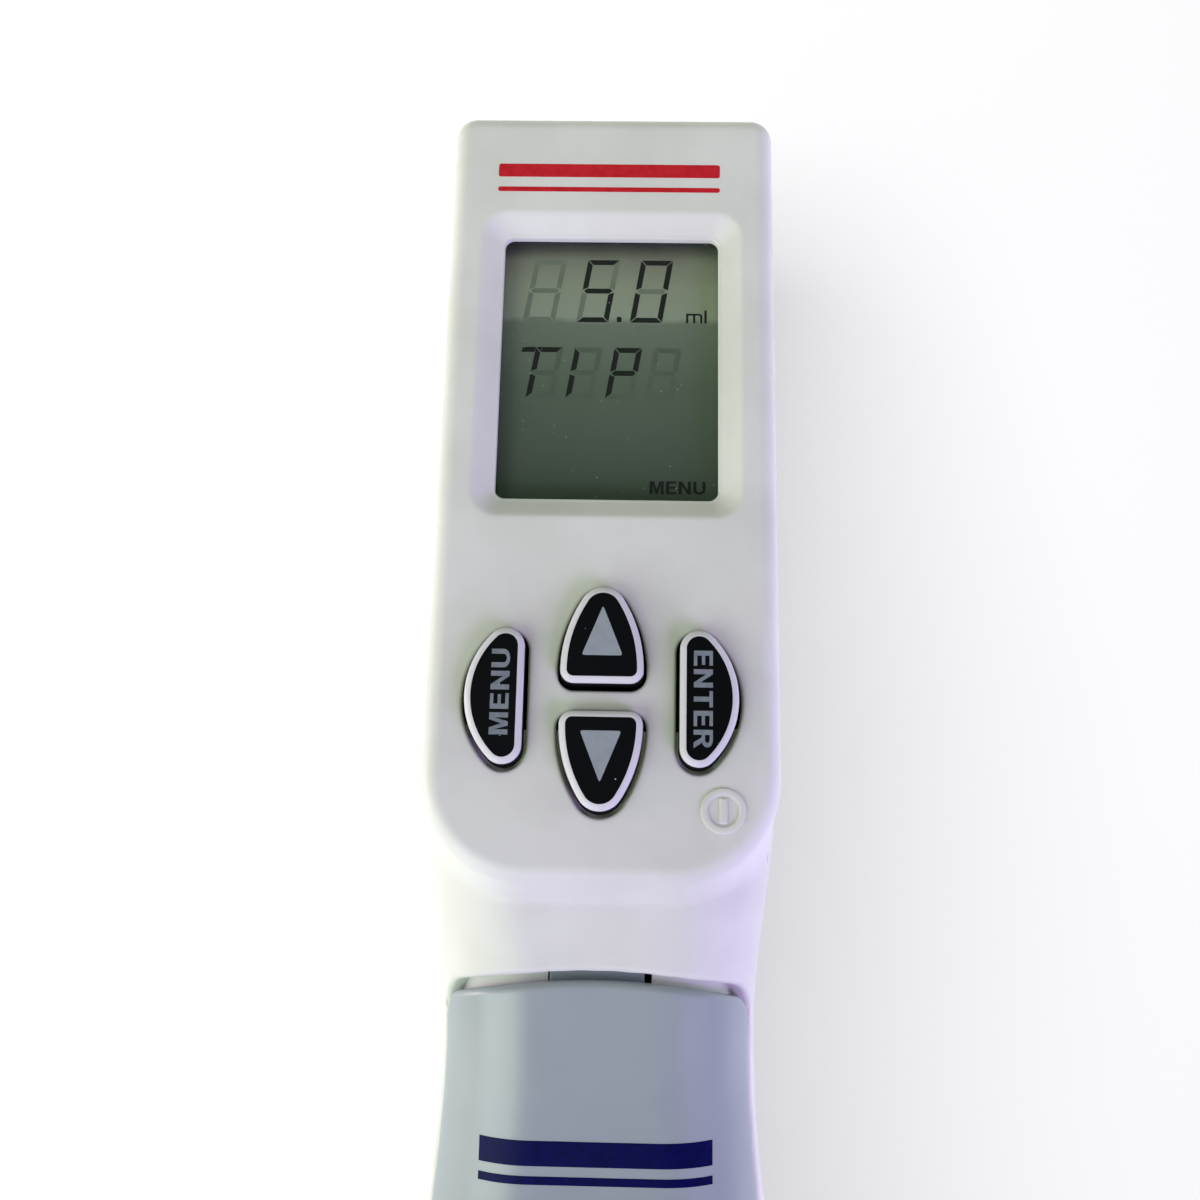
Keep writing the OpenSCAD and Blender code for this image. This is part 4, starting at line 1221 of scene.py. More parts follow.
@dataclass(frozen=True)
class Letters:
    """Plain block capitals for the keys' and the display's words, each drawn as loops in a box of its own width.

    Attributes:
        stroke: thickness of a stroke as a share of the height.
        space: space between letters as a share of the height.
    """

    stroke: float = 0.2
    space: float = 0.14

    def glyph(self, letter: str) -> tuple[float, list[list[tuple[float, float]]]]:
        """Draws one letter at a height of 1.

        Args:
            letter: one of E, T, N, M, U, R and m, or any other for a plain bar.

        Returns:
            Its width and its loops, the outer one first.
        """
        t = self.stroke
        turn = np.radians(np.linspace(180, 360, 13))
        if letter == "E":
            w, m = 0.62, 0.5
            return w, [[
                (0, 0), (w, 0), (w, t * 0.9), (t, t * 0.9), (t, m - t * 0.4), (w * 0.93, m - t * 0.4),
                (w * 0.93, m + t * 0.45), (t, m + t * 0.45), (t, 1 - t * 0.9), (w * 0.98, 1 - t * 0.9),
                (w * 0.98, 1), (0, 1),
            ]]
        if letter == "T":
            w, c = 0.66, 0.33
            return w, [[
                (c - t / 2, 0), (c + t / 2, 0), (c + t / 2, 1 - t * 0.9), (w, 1 - t * 0.9), (w, 1), (0, 1),
                (0, 1 - t * 0.9), (c - t / 2, 1 - t * 0.9),
            ]]
        if letter == "N":
            w = 0.74
            return w, [[
                (0, 0), (t, 0), (t, 0.66), (w - t, 0), (w, 0), (w, 1), (w - t, 1), (w - t, 0.34), (t, 1),
                (0, 1),
            ]]
        if letter == "M":
            w, c = 0.86, 0.43
            return w, [[
                (0, 0), (t, 0), (t, 0.74), (c - t * 0.42, 0), (c + t * 0.42, 0), (w - t, 0.74), (w - t, 0),
                (w, 0), (w, 1), (w - t * 1.35, 1), (c, 0.36), (t * 1.35, 1), (0, 1),
            ]]
        if letter == "U":
            w, r = 0.74, 0.37
            outer = [(r + r * math.cos(a), 0.34 + 0.34 * math.sin(a)) for a in turn]
            inner = [(r + (r - t) * math.cos(a), 0.34 + (0.34 - t * 0.9) * math.sin(a)) for a in turn[::-1]]
            return w, [[(0, 1)] + outer + [(w, 1), (w - t, 1)] + inner + [(t, 1)]]
        if letter == "R":
            w, r = 0.74, 0.29
            bowl = [
                (w - 0.04 - r + r * math.cos(a), 0.71 + r * math.sin(a))
                for a in np.radians(np.linspace(-70, 90, 11))
            ]
            hole = [
                (w - 0.04 - r + (r - t * 0.85) * math.cos(a) * 0.9, 0.71 + (r - t * 0.85) * math.sin(a))
                for a in np.radians(np.linspace(-90, 90, 9))
            ]
            return w, [
                [
                    (0, 0), (t, 0), (t, 0.42), (0.3, 0.42), (w - t * 1.15, 0), (w, 0), (w - t * 1.05, 0.4),
                ] + bowl + [(0, 1)],
                [(t, 0.71 - r + t * 0.85)] + hole + [(t, 0.71 + r - t * 0.85)],
            ]
        if letter == "m":
            w, c, h, k = 1.06, 0.53, 0.74, t * 0.8
            return w, [[
                (0, 0), (k, 0), (k, h - k * 1.3), (k * 1.5, h - k), (c - k * 0.9, h - k),
                (c - k / 2, h - k * 1.5), (c - k / 2, 0), (c + k / 2, 0), (c + k / 2, h - k * 1.3),
                (c + k, h - k), (w - k * 1.5, h - k), (w - k, h - k * 1.5), (w - k, 0), (w, 0), (w, h - k),
                (w - k, h), (0, h),
            ]]
        w = t * 0.85
        return w, [[(0, 0), (w, 0), (w, 1), (0, 1)]]

    def draw(
        self, words: str, middle: tuple[float, float], size: tuple[float, float], turn: float, n: float,
        name: str, body: str, finish: Ink,
    ) -> None:
        """Adds a word as a flat film on the face: the row of letters is fitted to a size, turned and placed.

        Args:
            words: what it says.
            middle: its middle in (u, v).
            size: its length and height in mm.
            turn: how far it is turned, in degrees.
            n: height of its top out of the face.
            name: the piece's name.
            body: the body that it rides on.
            finish: its finish.
        """
        glyphs = [self.glyph(letter) for letter in words]
        total = sum(w for w, _ in glyphs) + self.space * (len(words) - 1)
        c, s = math.cos(math.radians(turn)), math.sin(math.radians(turn))
        maker, start = MeshMaker(), 0.0
        for width, loops in glyphs:
            flat = []
            for loop in loops:
                run = ((np.array(loop)[:, 0] + start) / total - 0.5) * size[0]
                rise = (np.array(loop)[:, 1] - 0.5) * size[1]
                flat.append(np.stack([middle[0] + run * c - rise * s, middle[1] + run * s + rise * c], -1))
            maker.film(flat, n)
            start += width + self.space
        maker.piece(name, body, [finish])


@dataclass
class Display:
    """The reflective panel's dark and unlit segments, thin films on the panel's glass."""

    face: Face = field(default_factory=Face)
    n: float = -4.55
    thick: float = 0.72
    gap: float = 0.1
    slant: float = 0.16
    tall: float = 9.42
    wide: float = 4.4
    small_tall: float = 7.5
    small_wide: float = 3.75

    def bars(self, tall: float, wide: float) -> dict[str, list[tuple[float, float]]]:
        """Seven bars of a digit with mitred ends, and the wing to the left of its top bar.

        Args:
            tall: height of the digit.
            wide: its width.

        Returns:
            Corners of each bar before the slant.
        """
        t, g, h, w = self.thick, self.gap, tall, wide
        m = h / 2
        return {
            "a": [(g, h), (w - g, h), (w - t - g, h - t), (t + g, h - t)],
            "d": [(g, 0), (t + g, t), (w - t - g, t), (w - g, 0)],
            "g": [
                (g + 0.15, m), (t * 0.75 + g, m + t / 2), (w - t * 0.75 - g, m + t / 2), (w - g - 0.15, m),
                (w - t * 0.75 - g, m - t / 2), (t * 0.75 + g, m - t / 2),
            ],
            "f": [(0, h - g), (t, h - t - g), (t, m + t * 0.75), (0, m + g + 0.1)],
            "e": [(0, g), (0, m - g - 0.1), (t, m - t * 0.75), (t, t + g)],
            "b": [(w, h - g), (w, m + g + 0.1), (w - t, m + t * 0.75), (w - t, h - t - g)],
            "c": [(w, g), (w - t, t + g), (w - t, m - t * 0.75), (w, m - g - 0.1)],
            "wing": [(-1.75, h), (0.0, h), (-0.12, h - t), (-1.85, h - t)],
        }

    def draw(
        self, maker: MeshMaker, at: tuple[float, float], tall: float, wide: float, lit: str,
        deeper: float = 0.0,
    ) -> None:
        """Adds the named bars of one digit as films: corners slanted by u + slant v.

        Args:
            maker: what gathers the bars.
            at: the digit's lower left corner in (u, v).
            tall: its height.
            wide: its width.
            lit: names of the bars, with spaces between.
            deeper: how much lower their top lies than a dark bar's.
        """
        for name, corners in self.bars(tall, wide).items():
            if name in lit.split():
                loop = np.array(corners, float)
                loop = np.stack([at[0] + loop[:, 0] + self.slant * loop[:, 1], at[1] + loop[:, 1]], -1)
                heights = (self.n - FILM_UNDER, self.n + FILM_OVER - deeper)
                maker.loft(np.stack([self.face.place(loop, n) for n in heights]))

    @staticmethod
    def unlit(lit: str) -> str:
        """Returns the bars of a digit that aren't lit, in the order of their letters."""
        return " ".join(sorted(set("abcdefg") - set(lit.split())))

    def build(self) -> None:
        """Builds the dark segments, the unlit ones and the small captions."""
        dark, faint, dull = MeshMaker(), MeshMaker(), MeshMaker()
        for at, lit in (((-12.05, 62.3), ""), ((-4.71, 62.3), "a f g c d"), ((2.63, 62.3), "a b c d e f")):
            self.draw(dark, at, self.tall, self.wide, lit)
            self.draw(faint, at, self.tall, self.wide, self.unlit(lit), 0.01)
        # The lower row's unlit bars take the darker copy of the ink, which paints the panel's shade there.
        row = ((-11.26, "wing a f e"), (-5.9, "f e"), (-0.53, "a b e f g"), (4.84, ""))
        for u, lit in row:
            self.draw(dark, (u, 51.0), self.small_tall, self.small_wide, lit)
            self.draw(dull, (u, 51.0), self.small_tall, self.small_wide, self.unlit(lit), 0.01)
        dot = rounded_box(0.62, 0.75, 0.08, 3).moved(1.2, 62.75)
        dark.loft(dot.rings([(0, self.n - FILM_UNDER), (0, self.n + FILM_OVER)], self.face))
        dark.piece("lcd_segments", "shell", [Finishes.SEGMENT])
        faint.piece("lcd_unlit_digits", "shell", [Finishes.FAINT])
        dull.piece("lcd_unlit_letters", "shell", [Finishes.FAINT_IN_SHADE])
        Letters(0.17).draw(
            "ml", (11.75, 63.25), (2.8, 1.95), 0, self.n + FILM_OVER, "lcd_unit", "shell", Finishes.SEGMENT,
        )
        Letters(0.19).draw(
            "MENU", (9.35, 38.4), (7.4, 1.8), 0, self.n + FILM_OVER, "lcd_caption", "shell", Finishes.SEGMENT,
        )


@dataclass
class Housings:
    """The white front and rear housings: the head's two halves, the neck, the side rails and the waisted back."""

    head: Head = field(default_factory=Head)
    grip: Grip = field(default_factory=Grip)
    opening: Opening = field(default_factory=lambda: Opening(corner=5.0))
    keys: Keypad = field(default_factory=Keypad)
    wall: float = 2.2
    lip_r: float = 0.8
    fillet: float = 2.6
    tangent: float = 0.4
    ring_top: float = 22.5
    neck_top: float = 166.0
    blend_from: float = 138.0
    foot: float = 20.0
    foot_r: float = 0.5
    part_r: float = 0.3
    # Half width, bottom and top of the holes for the eject key and the trigger.
    eject_hole: tuple[float, float, float] = (3.6, 44.4, 62)
    trigger_hole: tuple[float, float, float] = (6.4, 90.2, 113.2)
    # Half distance, height, radius and depth of the hook's two screw holes.
    hook_holes: tuple[float, float, float, float] = (12.0, 147.0, 2.4, 3.5)

    def chin_blend(self, points: np.ndarray) -> np.ndarray:
        """Raises the neck round the chin until it meets the face's round edge on a tangent.

        At distance d outside the head's outline the rise is drop (1 - (d + t) / length)^2, along the face's normal.
        Inside the outline the neck is kept under the face.

        Args:
            points: the neck's skin, rows by columns by 3.

        Returns:
            The same grid, raised.
        """
        u, v, n = self.head.face.measure(points)
        d = self.head.distance(u, v)
        r, t = self.head.edge_r, self.tangent
        plate = np.sqrt(r * r - np.clip(r + d, 0, r) ** 2) - r
        run = math.sqrt(r * r - (r - t) ** 2)
        _, front, _, round_r = self.grip.section(points[..., 2])
        facing = np.clip((front + round_r - points[..., 1]) / round_r, 0, 1)
        drop = np.clip(run - r - n, 0, None) * facing
        length = np.clip(2 * drop * run / (r - t), 0.3, self.fillet)
        raised = n + drop * np.clip(1 - (d + t) / length, 0, 1) ** 2
        hidden = np.where(d < -1.5, -1.3, plate - 0.05)
        raised = np.where(d < -t, np.minimum(raised, hidden), raised)
        moved = self.head.face.place(np.stack([u, v], -1), raised)
        return np.where((points[..., 2] > self.blend_from)[..., None], moved, points)

    def build_front(self) -> None:
        """Builds the front housing: plate, mark, neck and lip, rails beside the cover, the slot's inner wall."""
        maker = MeshMaker()
        self.head.build_front(self.keys, maker)
        self.head.build_power_mark(maker)
        o, g = self.opening, self.grip
        # Columns by their share q of the way to the seam, rows by their height above the opening's edge.
        inner_q = np.concatenate([np.linspace(0, 0.74, 22), 1 - 0.26 * (1 - np.linspace(0, 1, 27)[1:])])
        q = np.concatenate([-inner_q[:0:-1], inner_q])
        close = np.array([0, 0.08, 0.16, 0.26, 0.38, 0.52, 0.68, 0.86, 1.06, 1.3, 1.7, 2.3])
        edge_z = o.edge(q)
        share = np.linspace(0, 1, 92)
        high = edge_z[None] + close[:, None]
        rest = (edge_z + close[-1])[None] + (self.neck_top - edge_z - close[-1])[None] * share[1:, None]
        z = np.vstack([high, rest])
        s = q[None] * g.seam(z, o.seam)
        rim_z = np.concatenate([
            o.edge(np.linspace(-1, 1, 500)), np.linspace(self.ring_top, o.edge(np.array(1.0)), 260),
            np.linspace(self.ring_top, o.edge(np.array(1.0)), 260),
        ])
        rim_q = np.concatenate([np.linspace(-1, 1, 500), np.ones(260), -np.ones(260)])
        rim = g.skin(rim_q * g.seam(rim_z, o.seam), rim_z, 0.0)
        sink = rounding(g.skin(s, z, 0.0), rim, self.lip_r)
        maker.wall(self.chin_blend(g.skin(s, z, sink)), g.skin(s, z, self.wall))
        # Sides: from the seam back to the parting, all the way down beside the cover.
        low = np.linspace(self.ring_top + 0.3, edge_z[-1], 56)
        z_side = np.concatenate([low[:-1], z[:, -1]])[:, None]
        steps = np.concatenate([
            np.array([0, 0.1, 0.2, 0.32, 0.46, 0.62, 0.8, 1.0, 1.25, 1.6]), np.linspace(2.2, 6, 7),
        ])
        for way in (-1, 1):
            start, finish = g.seam(z_side, o.seam), g.half_turn(z_side, False)
            s_side = way * (start + (finish - start) * np.minimum(steps / 6, 1)[None])
            outer = g.skin(s_side, z_side + 0 * s_side, 0.0)
            sunk = rounding(outer, rim, self.lip_r)
            back = np.clip(self.part_r - (finish - np.abs(s_side)), 0, self.part_r)
            sunk = np.maximum(sunk, turned_over(self.part_r, back))
            maker.wall(
                self.chin_blend(g.skin(s_side, z_side + 0 * s_side, sunk)),
                g.skin(s_side, z_side + 0 * s_side, self.wall),
            )
        self.slot_wall(maker)
        maker.piece("front_housing_skin", "shell", [Finishes.WHITE], "white_plastic", ["front_housing"])

    def slot_wall(self, maker: MeshMaker) -> None:
        """Adds the wall seen through the slot above the cover, with a notch for the cover's latch.

        Args:
            maker: what gathers the shell.
        """
        g = self.grip
        z = np.linspace(124.5, 140.0, 18)[:, None]
        for x0, x1 in ((-26.0, -6.05), (6.75, 26.0)):
            s = np.linspace(x0, x1, 40)[None] + 0 * z
            z_full = z + 0 * s
            maker.wall(g.skin(s, z_full, 2.1), g.skin(s, z_full, 3.4))

    def build_rear(self) -> None:
        """Builds the rear housing: the head's back, the waisted back with two holes, the ring, the hook's seat."""
        maker = MeshMaker()
        self.head.build_back(maker)
        g = self.grip
        key_s, key_low, key_high = self.eject_hole
        pad_s, pad_low, pad_high = self.trigger_hole
        z = np.unique(np.concatenate([
            np.linspace(self.foot, key_low, 17), np.linspace(key_low, key_high, 12),
            np.linspace(key_high, pad_low, 18), np.linspace(pad_low, pad_high, 15),
            np.linspace(pad_high, 190, 60), [20.15, 20.3, 20.5],
        ]))
        mid = np.array([0, key_s / 2, key_s, 5.0, pad_s])
        far = np.unique(np.concatenate([np.linspace(0, 1, 40)[1:], [0.992, 0.997]]))
        reach = g.half_turn(z, True)[:, None]
        side = np.hstack([mid[None] + 0 * reach, pad_s + (reach - pad_s) * far[None]])
        s = np.hstack([-side[:, :0:-1], side])
        z_full = z[:, None] + 0 * s
        near = np.clip(self.part_r - (reach - np.abs(s)), 0, self.part_r)
        low = np.clip(self.foot + self.foot_r - z_full, 0, self.foot_r)
        sink = np.maximum(turned_over(self.part_r, near), turned_over(self.foot_r, low))
        outer = self.under_back(g.skin(s, z_full, sink, True), 0.9)
        inner = self.under_back(g.skin(s, z_full, self.wall, True), 1.7)
        c_s, c_z = np.abs(s[:-1, :-1] + s[1:, 1:]) / 2, (z_full[:-1, :-1] + z_full[1:, 1:]) / 2
        keep = np.ones(c_s.shape, bool)
        for half, bottom, top in (self.eject_hole, self.trigger_hole):
            keep &= ~((c_s < half) & (c_z > bottom) & (c_z < top))
        maker.wall(outer, inner, keep)
        # Front half of the ring below the cover.
        z_ring = np.array([
            20, 20.06, 20.2, 20.5, 21.4, self.ring_top - 0.3, self.ring_top - 0.1, self.ring_top,
        ])[:, None]
        q = np.linspace(-1, 1, 121)[None]
        s_ring = q * g.half_turn(z_ring, False)
        zr = z_ring + 0 * s_ring
        dip = np.clip(self.foot + self.foot_r - zr, 0, self.foot_r)
        dip += np.clip(zr - self.ring_top + self.part_r, 0, self.part_r)
        maker.wall(g.skin(s_ring, zr, turned_over(self.foot_r, dip)), g.skin(s_ring, zr, self.wall))
        seat = smooth_loop([(11.8, 119), (15, 119), (15, 140), (11.8, 140)], 0.3, 2)
        maker.loft(slab_rings(seat, 7.5, 0.5))
        made = maker.piece("rear_housing_skin", "shell", [Finishes.WHITE], "white_plastic", ["rear_housing"])
        x, height, r, depth = self.hook_holes
        neck_back = float(g.along(np.array(height), g.backs))
        for way in (-1, 1):
            drill(made, (way * x, neck_back + 2, height), (0, -1, 0), r, depth)

    def under_back(self, points: np.ndarray, depth: float) -> np.ndarray:
        """Keeps the grip's upper part, where it runs into the head, inside the head's back wall.

        Args:
            points: the grip's skin, rows by columns by 3.
            depth: how far inside the head's back it is kept.

        Returns:
            The same grid, held under the back.
        """
        u, v, n = self.head.face.measure(points)
        floor = -self.head.thick + depth
        inside = (self.head.distance(u, v) < -0.2) & (n > floor) & (points[..., 2] > 150)
        deep = self.head.face.place(np.stack([u, v], -1), np.full(n.shape, floor))
        return np.where(inside[..., None], deep, points)


@dataclass
class BatteryCover:
    """The grey-blue battery cover: one curved shell that fills the opening and hinges at its foot."""

    grip: Grip = field(default_factory=Grip)
    opening: Opening = field(default_factory=lambda: Opening(corner=3.4))
    wall: float = 1.8
    gap: float = 0.3
    edge_r: float = 0.7
    hinge: tuple[float, float] = (-13.0, 25.8)

    def reach(self, z: np.ndarray) -> np.ndarray:
        """Half-length round the skin: to the seam less a gap, and shorter near the foot so that it swings free."""
        return self.grip.seam(z, self.opening.seam) - self.gap - np.clip(28 - z, 0, 4) * 0.25

    def build(self) -> None:
        """Builds the cover, its two hinge ears and its latch tongue."""
        o, g = self.opening, self.grip
        inner_q = np.concatenate([
            np.linspace(0, 0.76, 24), 1 - 0.24 * (1 - np.linspace(0, 1, 23)[1:-6]),
            [0.975, 0.98, 0.985, 0.99, 0.995, 1.0],
        ])
        q = np.unique(np.concatenate([-inner_q, inner_q]))
        near = np.array([0, 0.07, 0.15, 0.25, 0.37, 0.5, 0.65, 0.85, 1.2, 2.0])
        crown = o.edge(q, self.gap) - o.slot
        top = crown[None] - near[::-1, None]
        foot = o.floor + near[:, None] + 0 * crown[None]
        t = np.linspace(0, 1, 70)[1:-1, None]
        z = np.vstack([foot, foot[-1:] + (top[:1] - foot[-1:]) * t, top])
        s = q[None] * self.reach(z)
        fine = np.linspace(-1, 1, 500)
        head_z = o.edge(fine, self.gap) - o.slot
        side_z = np.linspace(o.floor, head_z[0], 300)
        rim_q = np.concatenate([fine, fine, np.ones(300), -np.ones(300)])
        rim_z = np.concatenate([head_z, np.full(500, o.floor), side_z, side_z])
        rim = g.skin(rim_q * self.reach(rim_z), rim_z, 0.0)
        sink = rounding(g.skin(s, z, 0.0), rim, self.edge_r)
        maker = MeshMaker()
        maker.wall(g.skin(s, z, sink), g.skin(s, z, self.wall))
        y, h = self.hinge
        for way in (-1, 1):
            ear = smooth_loop(
                [(-15.4, h - 1.6), (y, h - 1.6), (y + 1.6, h), (y, h + 1.6), (-15.6, h + 3.2)], 0.2, 2,
            )
            rings = slab_rings(ear, 1.0, 0.2, 2)
            maker.loft(rings + np.array([3.5 * way, 0, 0]))
        maker.piece("battery_cover_skin", "cover_body", [Finishes.COVER], "cover_plastic", ["front_cover"])
        front = float(g.along(np.array(o.lip), g.fronts)) + self.wall + 0.05
        tongue = MeshMaker()
        loop = smooth_loop([(front, 119.3), (front + 1.5, 119.3), (front + 1.5, 137.0), (front, 137.0)], 0.2, 2)
        tongue.loft(slab_rings(loop, 5.85, 0.3))
        tongue.piece("latch_tongue", "cover_body", [Finishes.LATCH], "latch_plastic", ["cover_latch"])
        self.build_print()

    def build_print(self) -> None:
        """Adds the plain navy rules printed across the cover, films that follow its skin."""
        maker = MeshMaker()
        for low, high in ((113.6, 116.6), (111.4, 112.4)):
            z = np.linspace(low, high, 8)[:, None]
            s = np.linspace(-14.4, 14.8, 60)[None] + 0 * z
            zf = z + 0 * s
            maker.wall(self.grip.skin(s, zf, -0.03), self.grip.skin(s, zf, 0.03))
        maker.piece("navy_rules", "cover_body", [Finishes.NAVY])


@dataclass
class FingerSide:
    """The finger hook, the dispensing trigger and the eject key on the pipette's back."""

    hook_middle: tuple[float, float] = (26.6, 121.0)
    hook_r: float = 11.0
    hook_t: float = 3.6
    hook_w: float = 15.0
    face: Face = field(default_factory=Face)

    def build(self) -> None:
        """Builds the three pieces as loops in (y, z) carried across x with rounded edges."""
        y, z = self.hook_middle
        r, t = self.hook_r, self.hook_t
        inside = np.radians(np.linspace(190, 0, 60))
        outside = np.radians(np.linspace(0, 123.2, 50))
        tip = np.radians(np.linspace(180, 360, 16))
        corners = [(15.0, 140.0), (15.0, 119.0)]
        corners += [(y + r * math.cos(a), z + r * math.sin(a)) for a in inside]
        corners += [(y + r + t / 2 + t / 2 * math.cos(a), 116.5 + t / 2 * math.sin(a)) for a in tip]
        corners += [(y + (r + t) * math.cos(a), z + (r + t) * math.sin(a)) for a in outside]
        corners += [(18.6, 140.0)]
        hook = MeshMaker()
        hook.loft(slab_rings(smooth_loop(corners, 0.4, 4), self.hook_w / 2, 1.1, 6))
        hook.piece("finger_hook_skin", "shell", [Finishes.WHITE], "white_plastic", ["finger_hook"])
        trigger = [
            (13.4, 91.2), (17.8, 91.2), (19.3, 91.6), (20.0, 93.0), (20.15, 97.0), (19.5, 102.0),
            (19.4, 106.0), (19.2, 108.5), (17.4, 112.0), (14.6, 112.0), (11.6, 108.4), (13.4, 105.0),
        ]
        pad = MeshMaker()
        pad.loft(slab_rings(smooth_loop(trigger, 0.3, 3), 6.0, 0.8))
        around = np.linspace(0, 2 * math.pi, 40, endpoint=False)
        pivot = np.stack([11.6 + 2.1 * np.cos(around), 110 + 2.1 * np.sin(around)], -1)
        pad.loft(slab_rings(pivot, 5.9, 0.2, 2))
        pad.piece("step_trigger_skin", "trigger_body", [Finishes.COVER], "cover_plastic", ["step_trigger"])
        key = MeshMaker()
        body = smooth_loop([(17.2, 51), (19.4, 51), (19.4, 63), (17.2, 63)], 0.25, 2)
        key.loft(slab_rings(body, 5.0, 0.6))
        for k in range(3):
            low = 53.6 + 3.2 * k
            rib = smooth_loop(
                [(19.0, low), (19.9, low + 0.1), (20.0, low + 0.6), (19.9, low + 1.1), (19.0, low + 1.2)],
                0.12, 1,
            )
            key.loft(slab_rings(rib, 4.4, 0.35))
        key.piece("eject_key_skin", "ejector_body", [Finishes.COVER], "cover_plastic", ["eject_key"])


class Carried:
    """The CAD nodes that keep their own shape, each with its finish."""

    FINISH = {
        "display_window": Finishes.WINDOW,
        "window_gasket": Finishes.DARK,
        "lcd_panel": Finishes.LCD,
        "lcd_frame": Finishes.DARK,
        "main_board": Finishes.BOARD,
        "board_parts": Finishes.DARK,
        "key_switches": Finishes.STEEL,
        "beeper": Finishes.RUBBER,
        "charging_jack": Finishes.DARK,
        "drive_frame": Finishes.DARK,
        "motor": Finishes.STEEL,
        "motor_posts": Finishes.BRASS,
        "shaft_coupling": Finishes.BRASS,
        "lead_screw": Finishes.STEEL,
        "screw_bearing": Finishes.STEEL,
        "guide_rods": Finishes.STEEL,
        "carriage": Finishes.DARK,
        "drive_nut": Finishes.BRASS,
        "push_tube": Finishes.STEEL,
        "piston_clamp": Finishes.LATCH,
        "tip_holder": Finishes.LATCH,
        "tip_latch_left": Finishes.COVER,
        "tip_latch_right": Finishes.COVER,
        "latch_pins": Finishes.STEEL,
        "ejector": Finishes.LATCH,
        "eject_spring": Finishes.STEEL,
        "trigger_pin": Finishes.STEEL,
        "trigger_switch": Finishes.RUBBER,
        "hook_screws": Finishes.STEEL,
        "battery_cells": Finishes.SLEEVE,
        "battery_tray": Finishes.DARK,
        "battery_contacts": Finishes.BRASS,
        "cover_hinge_pin": Finishes.STEEL,
        "housing_screws": Finishes.STEEL,
        "board_screws": Finishes.STEEL,
    }

    def build(self) -> None:
        """Assigns each node's finish to its material slots, and leaves its mesh alone."""
        for name, finish in self.FINISH.items():
            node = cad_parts[name]
            node.data.materials.clear()
            node.data.materials.append(Finishes.get(finish))
            LOG.info("%s: %s", name, finish.name)


# ---- stage ------------------------------------------------------------------------


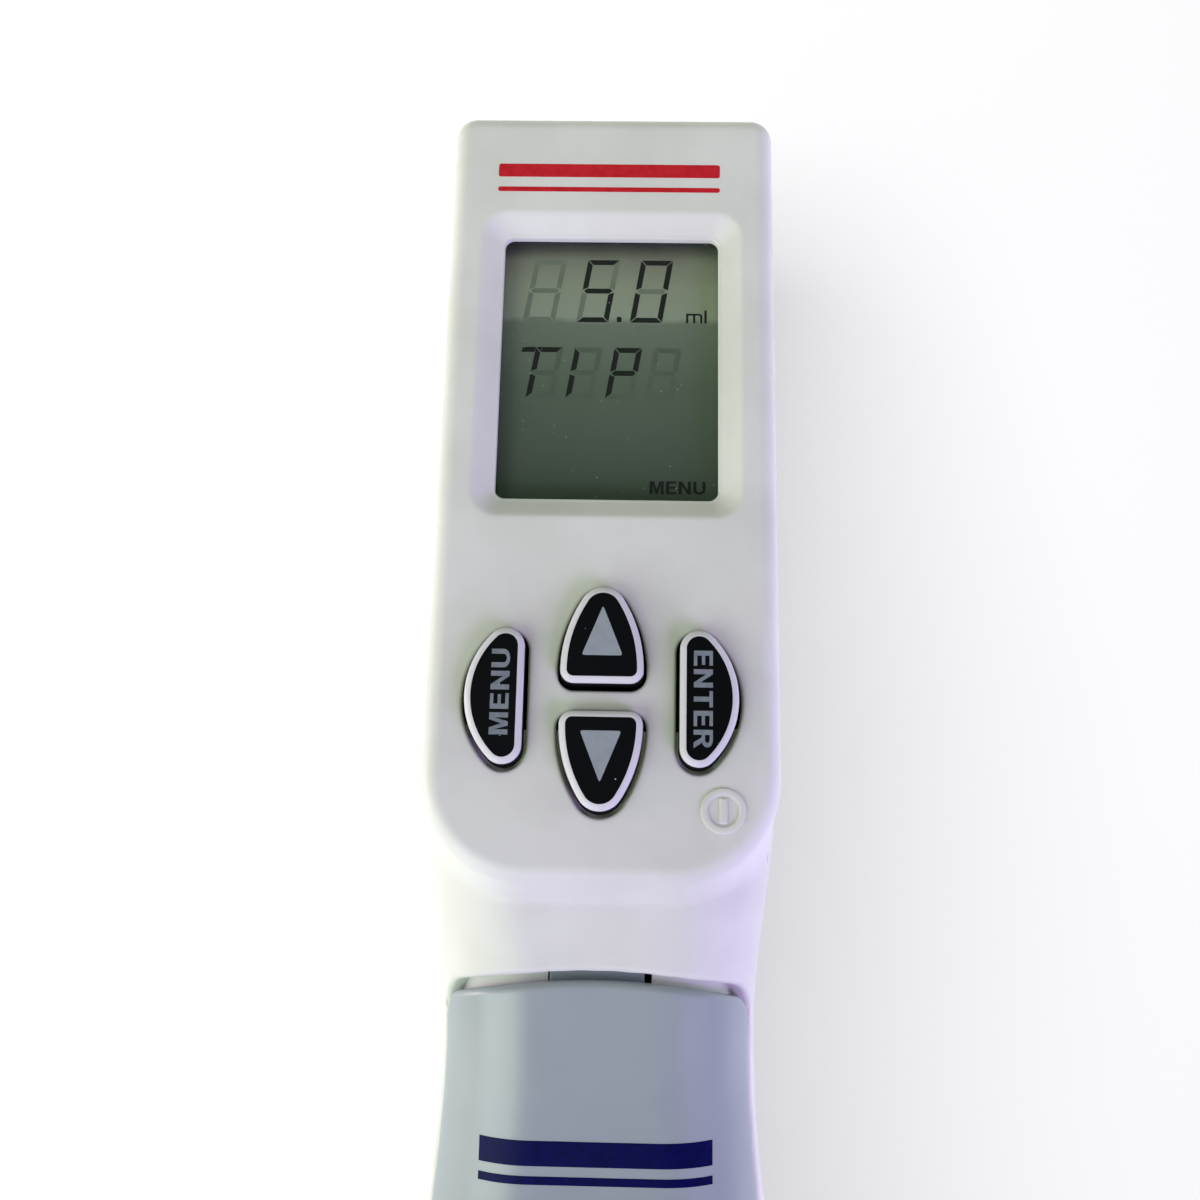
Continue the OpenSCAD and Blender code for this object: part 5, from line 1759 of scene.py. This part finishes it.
@dataclass
class Studio:
    """A pale floor right behind the pipette, soft lamps and the camera."""

    wall_y: float = 43.0
    camera_at: tuple[float, float, float] = (4.0266, -195.624, 180.908)
    right: tuple[float, float, float] = (0.99958, 0.02436, 0.0156)
    up: tuple[float, float, float] = (-0.01539, -0.00882, 0.99984)
    back: tuple[float, float, float] = (0.02449, -0.99966, -0.00844)
    lens: float = 43.5
    aim: tuple[float, float, float] = (0, 0, 190)
    floor_half: float = 4000.0
    floor_glow: float = 0.585
    sky_bounced: float = 0.01
    sky_reflected: float = 0.08

    def build(self) -> None:
        """Makes floor, world, lamps and camera."""
        floor = self.floor()
        self.world()
        self.lamp("left_window", (-330, -330, -100), 420, (1.8, 2.1, 1.72))
        self.lamp("left_side", (-480, -80, 165), 220, (1.1, 0.88, 0.98))
        self.lamp("right_side", (480, -80, 165), 220, (0.84, 0.92, 1.08), glossy=False)
        self.lamp("right_low", (330, -330, -100), 240, (1.4, 1.0, 2.0), glossy=False)
        self.lamp("near_top", (0, -140, 340), 100, (0.09, 0.1, 0.07), glossy=False)
        self.lamp("upper_left", (-400, -470, 410), 320, (0.6, 0.6, 0.6))
        # This lamp lights the floor alone, so that the shadow falls to the right.
        shade = self.lamp("floor_only", (-260, -560, 320), 560, (17.0, 17.0, 17.0), glossy=False)
        only = bpy.data.collections.new("lit_by_floor_only")
        only.objects.link(floor)
        shade.light_linking.receiver_collection = only
        self.camera()

    def floor(self) -> bpy.types.Object:
        """Makes the pale sheet behind the pipette, which glows a little and yet keeps the soft shadow.

        The camera, reflections and glass all see that glow. Bounced light sees plain grey paint.

        Returns:
            The floor.
        """
        around = ((-1, -1), (1, -1), (1, 1), (-1, 1))
        corners = np.array([(x * self.floor_half, self.wall_y, z * self.floor_half) for x, z in around])
        mesh = bpy.data.meshes.new("floor")
        mesh.from_pydata((corners * MM).tolist(), [], [(0, 1, 2, 3)])
        made = add_object("floor", mesh)
        paint = bpy.data.materials.new("pale_floor")
        tree = empty_tree(paint)
        place = add_node(tree, "ShaderNodeTexCoord").outputs["Object"]
        cloud = add_node(tree, "ShaderNodeTexNoise", {"Vector": place, "Scale": 6.0})
        lit, dim = (
            add_node(tree, "ShaderNodeBsdfDiffuse", {
                "Color": add_node(tree, "ShaderNodeValToRGB", {0: cloud.outputs[0]}, greys).outputs[0],
            })
            for greys in (((0.4, "acacac"), (0.6, "aeaeae")), ((0.4, "606060"), (0.6, "616161")))
        )
        glow = add_node(tree, "ShaderNodeEmission", {"Color": (1, 1, 1, 1), "Strength": self.floor_glow})
        both = add_node(tree, "ShaderNodeAddShader", {0: dim.outputs[0], 1: glow.outputs[0]})
        seen = ray_is(tree, ("Camera", "Glossy", "Transmission"))
        pick = add_node(tree, "ShaderNodeMixShader", {0: seen, 1: lit.outputs[0], 2: both.outputs[0]})
        behind = add_node(tree, "ShaderNodeNewGeometry").outputs["Backfacing"]
        clear = add_node(tree, "ShaderNodeBsdfTransparent")
        final = add_node(tree, "ShaderNodeMixShader", {0: behind, 1: pick.outputs[0], 2: clear.outputs[0]})
        add_node(tree, "ShaderNodeOutputMaterial", {"Surface": final.outputs[0]})
        mesh.materials.append(paint)
        return made

    def world(self) -> None:
        """Makes an even dim sky: white to the camera and through glass, but dim in reflections."""
        world = bpy.data.worlds.new("studio")
        bpy.context.scene.world = world
        tree = empty_tree(world)
        soft = add_node(tree, "ShaderNodeBackground", {"Color": linear("f4f4fa"), "Strength": self.sky_bounced})
        white = add_node(tree, "ShaderNodeBackground", {"Color": (1, 1, 1, 1), "Strength": 1.0})
        glossy = add_node(
            tree, "ShaderNodeBackground", {"Color": (1, 1, 1, 1), "Strength": self.sky_reflected},
        )
        bounced = add_node(
            tree, "ShaderNodeMixShader",
            {0: ray_is(tree, ("Glossy",)), 1: soft.outputs[0], 2: glossy.outputs[0]},
        )
        seen = ray_is(tree, ("Camera", "Transmission"))
        final = add_node(tree, "ShaderNodeMixShader", {0: seen, 1: bounced.outputs[0], 2: white.outputs[0]})
        add_node(tree, "ShaderNodeOutputWorld", {"Surface": final.outputs[0]})

    def lamp(
        self, name: str, at: tuple[float, float, float], size: float, watts: tuple[float, float, float],
        glossy: bool = True,
    ) -> bpy.types.Object:
        """Adds a square soft lamp that faces the keys.

        Args:
            name: its name.
            at: its place in mm.
            size: its side in mm.
            watts: its power in red, green and blue.
            glossy: whether reflections show it.

        Returns:
            The lamp.
        """
        light = bpy.data.lights.new(name, "AREA")
        light.shape, light.size, light.energy = "SQUARE", size * MM, max(watts)
        light.color = [w / max(watts) for w in watts]
        made = add_object(name, light)
        made.location, made.visible_glossy = Vector(at) * MM, glossy
        made.rotation_euler = (Vector(at) - Vector(self.aim)).to_track_quat("Z", "Y").to_euler()
        return made

    def camera(self) -> None:
        """Makes the camera at its solved place and turn."""
        data = bpy.data.cameras.new("camera")
        data.sensor_width, data.lens, data.clip_start, data.clip_end = 36.0, self.lens, 0.01, 20.0
        made = add_object("camera", data)
        turn = Matrix([self.right, self.up, self.back]).transposed().to_4x4()
        made.matrix_world = Matrix.Translation(Vector(self.camera_at) * MM) @ turn
        bpy.context.scene.camera = made
        bpy.context.scene.view_settings.view_transform = "Standard"


def main() -> None:
    logging.basicConfig(level=logging.INFO, format="%(name)s %(message)s")
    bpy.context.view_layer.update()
    Studio().build()
    housings = Housings()
    housings.build_front()
    housings.build_rear()
    housings.head.build_print()
    Keypad().build()
    Display().build()
    BatteryCover().build()
    FingerSide().build()
    Carried().build()
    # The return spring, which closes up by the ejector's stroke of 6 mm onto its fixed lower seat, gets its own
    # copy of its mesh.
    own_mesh(bpy.data.objects["eject_spring"])


if __name__ == "__main__":
    main()
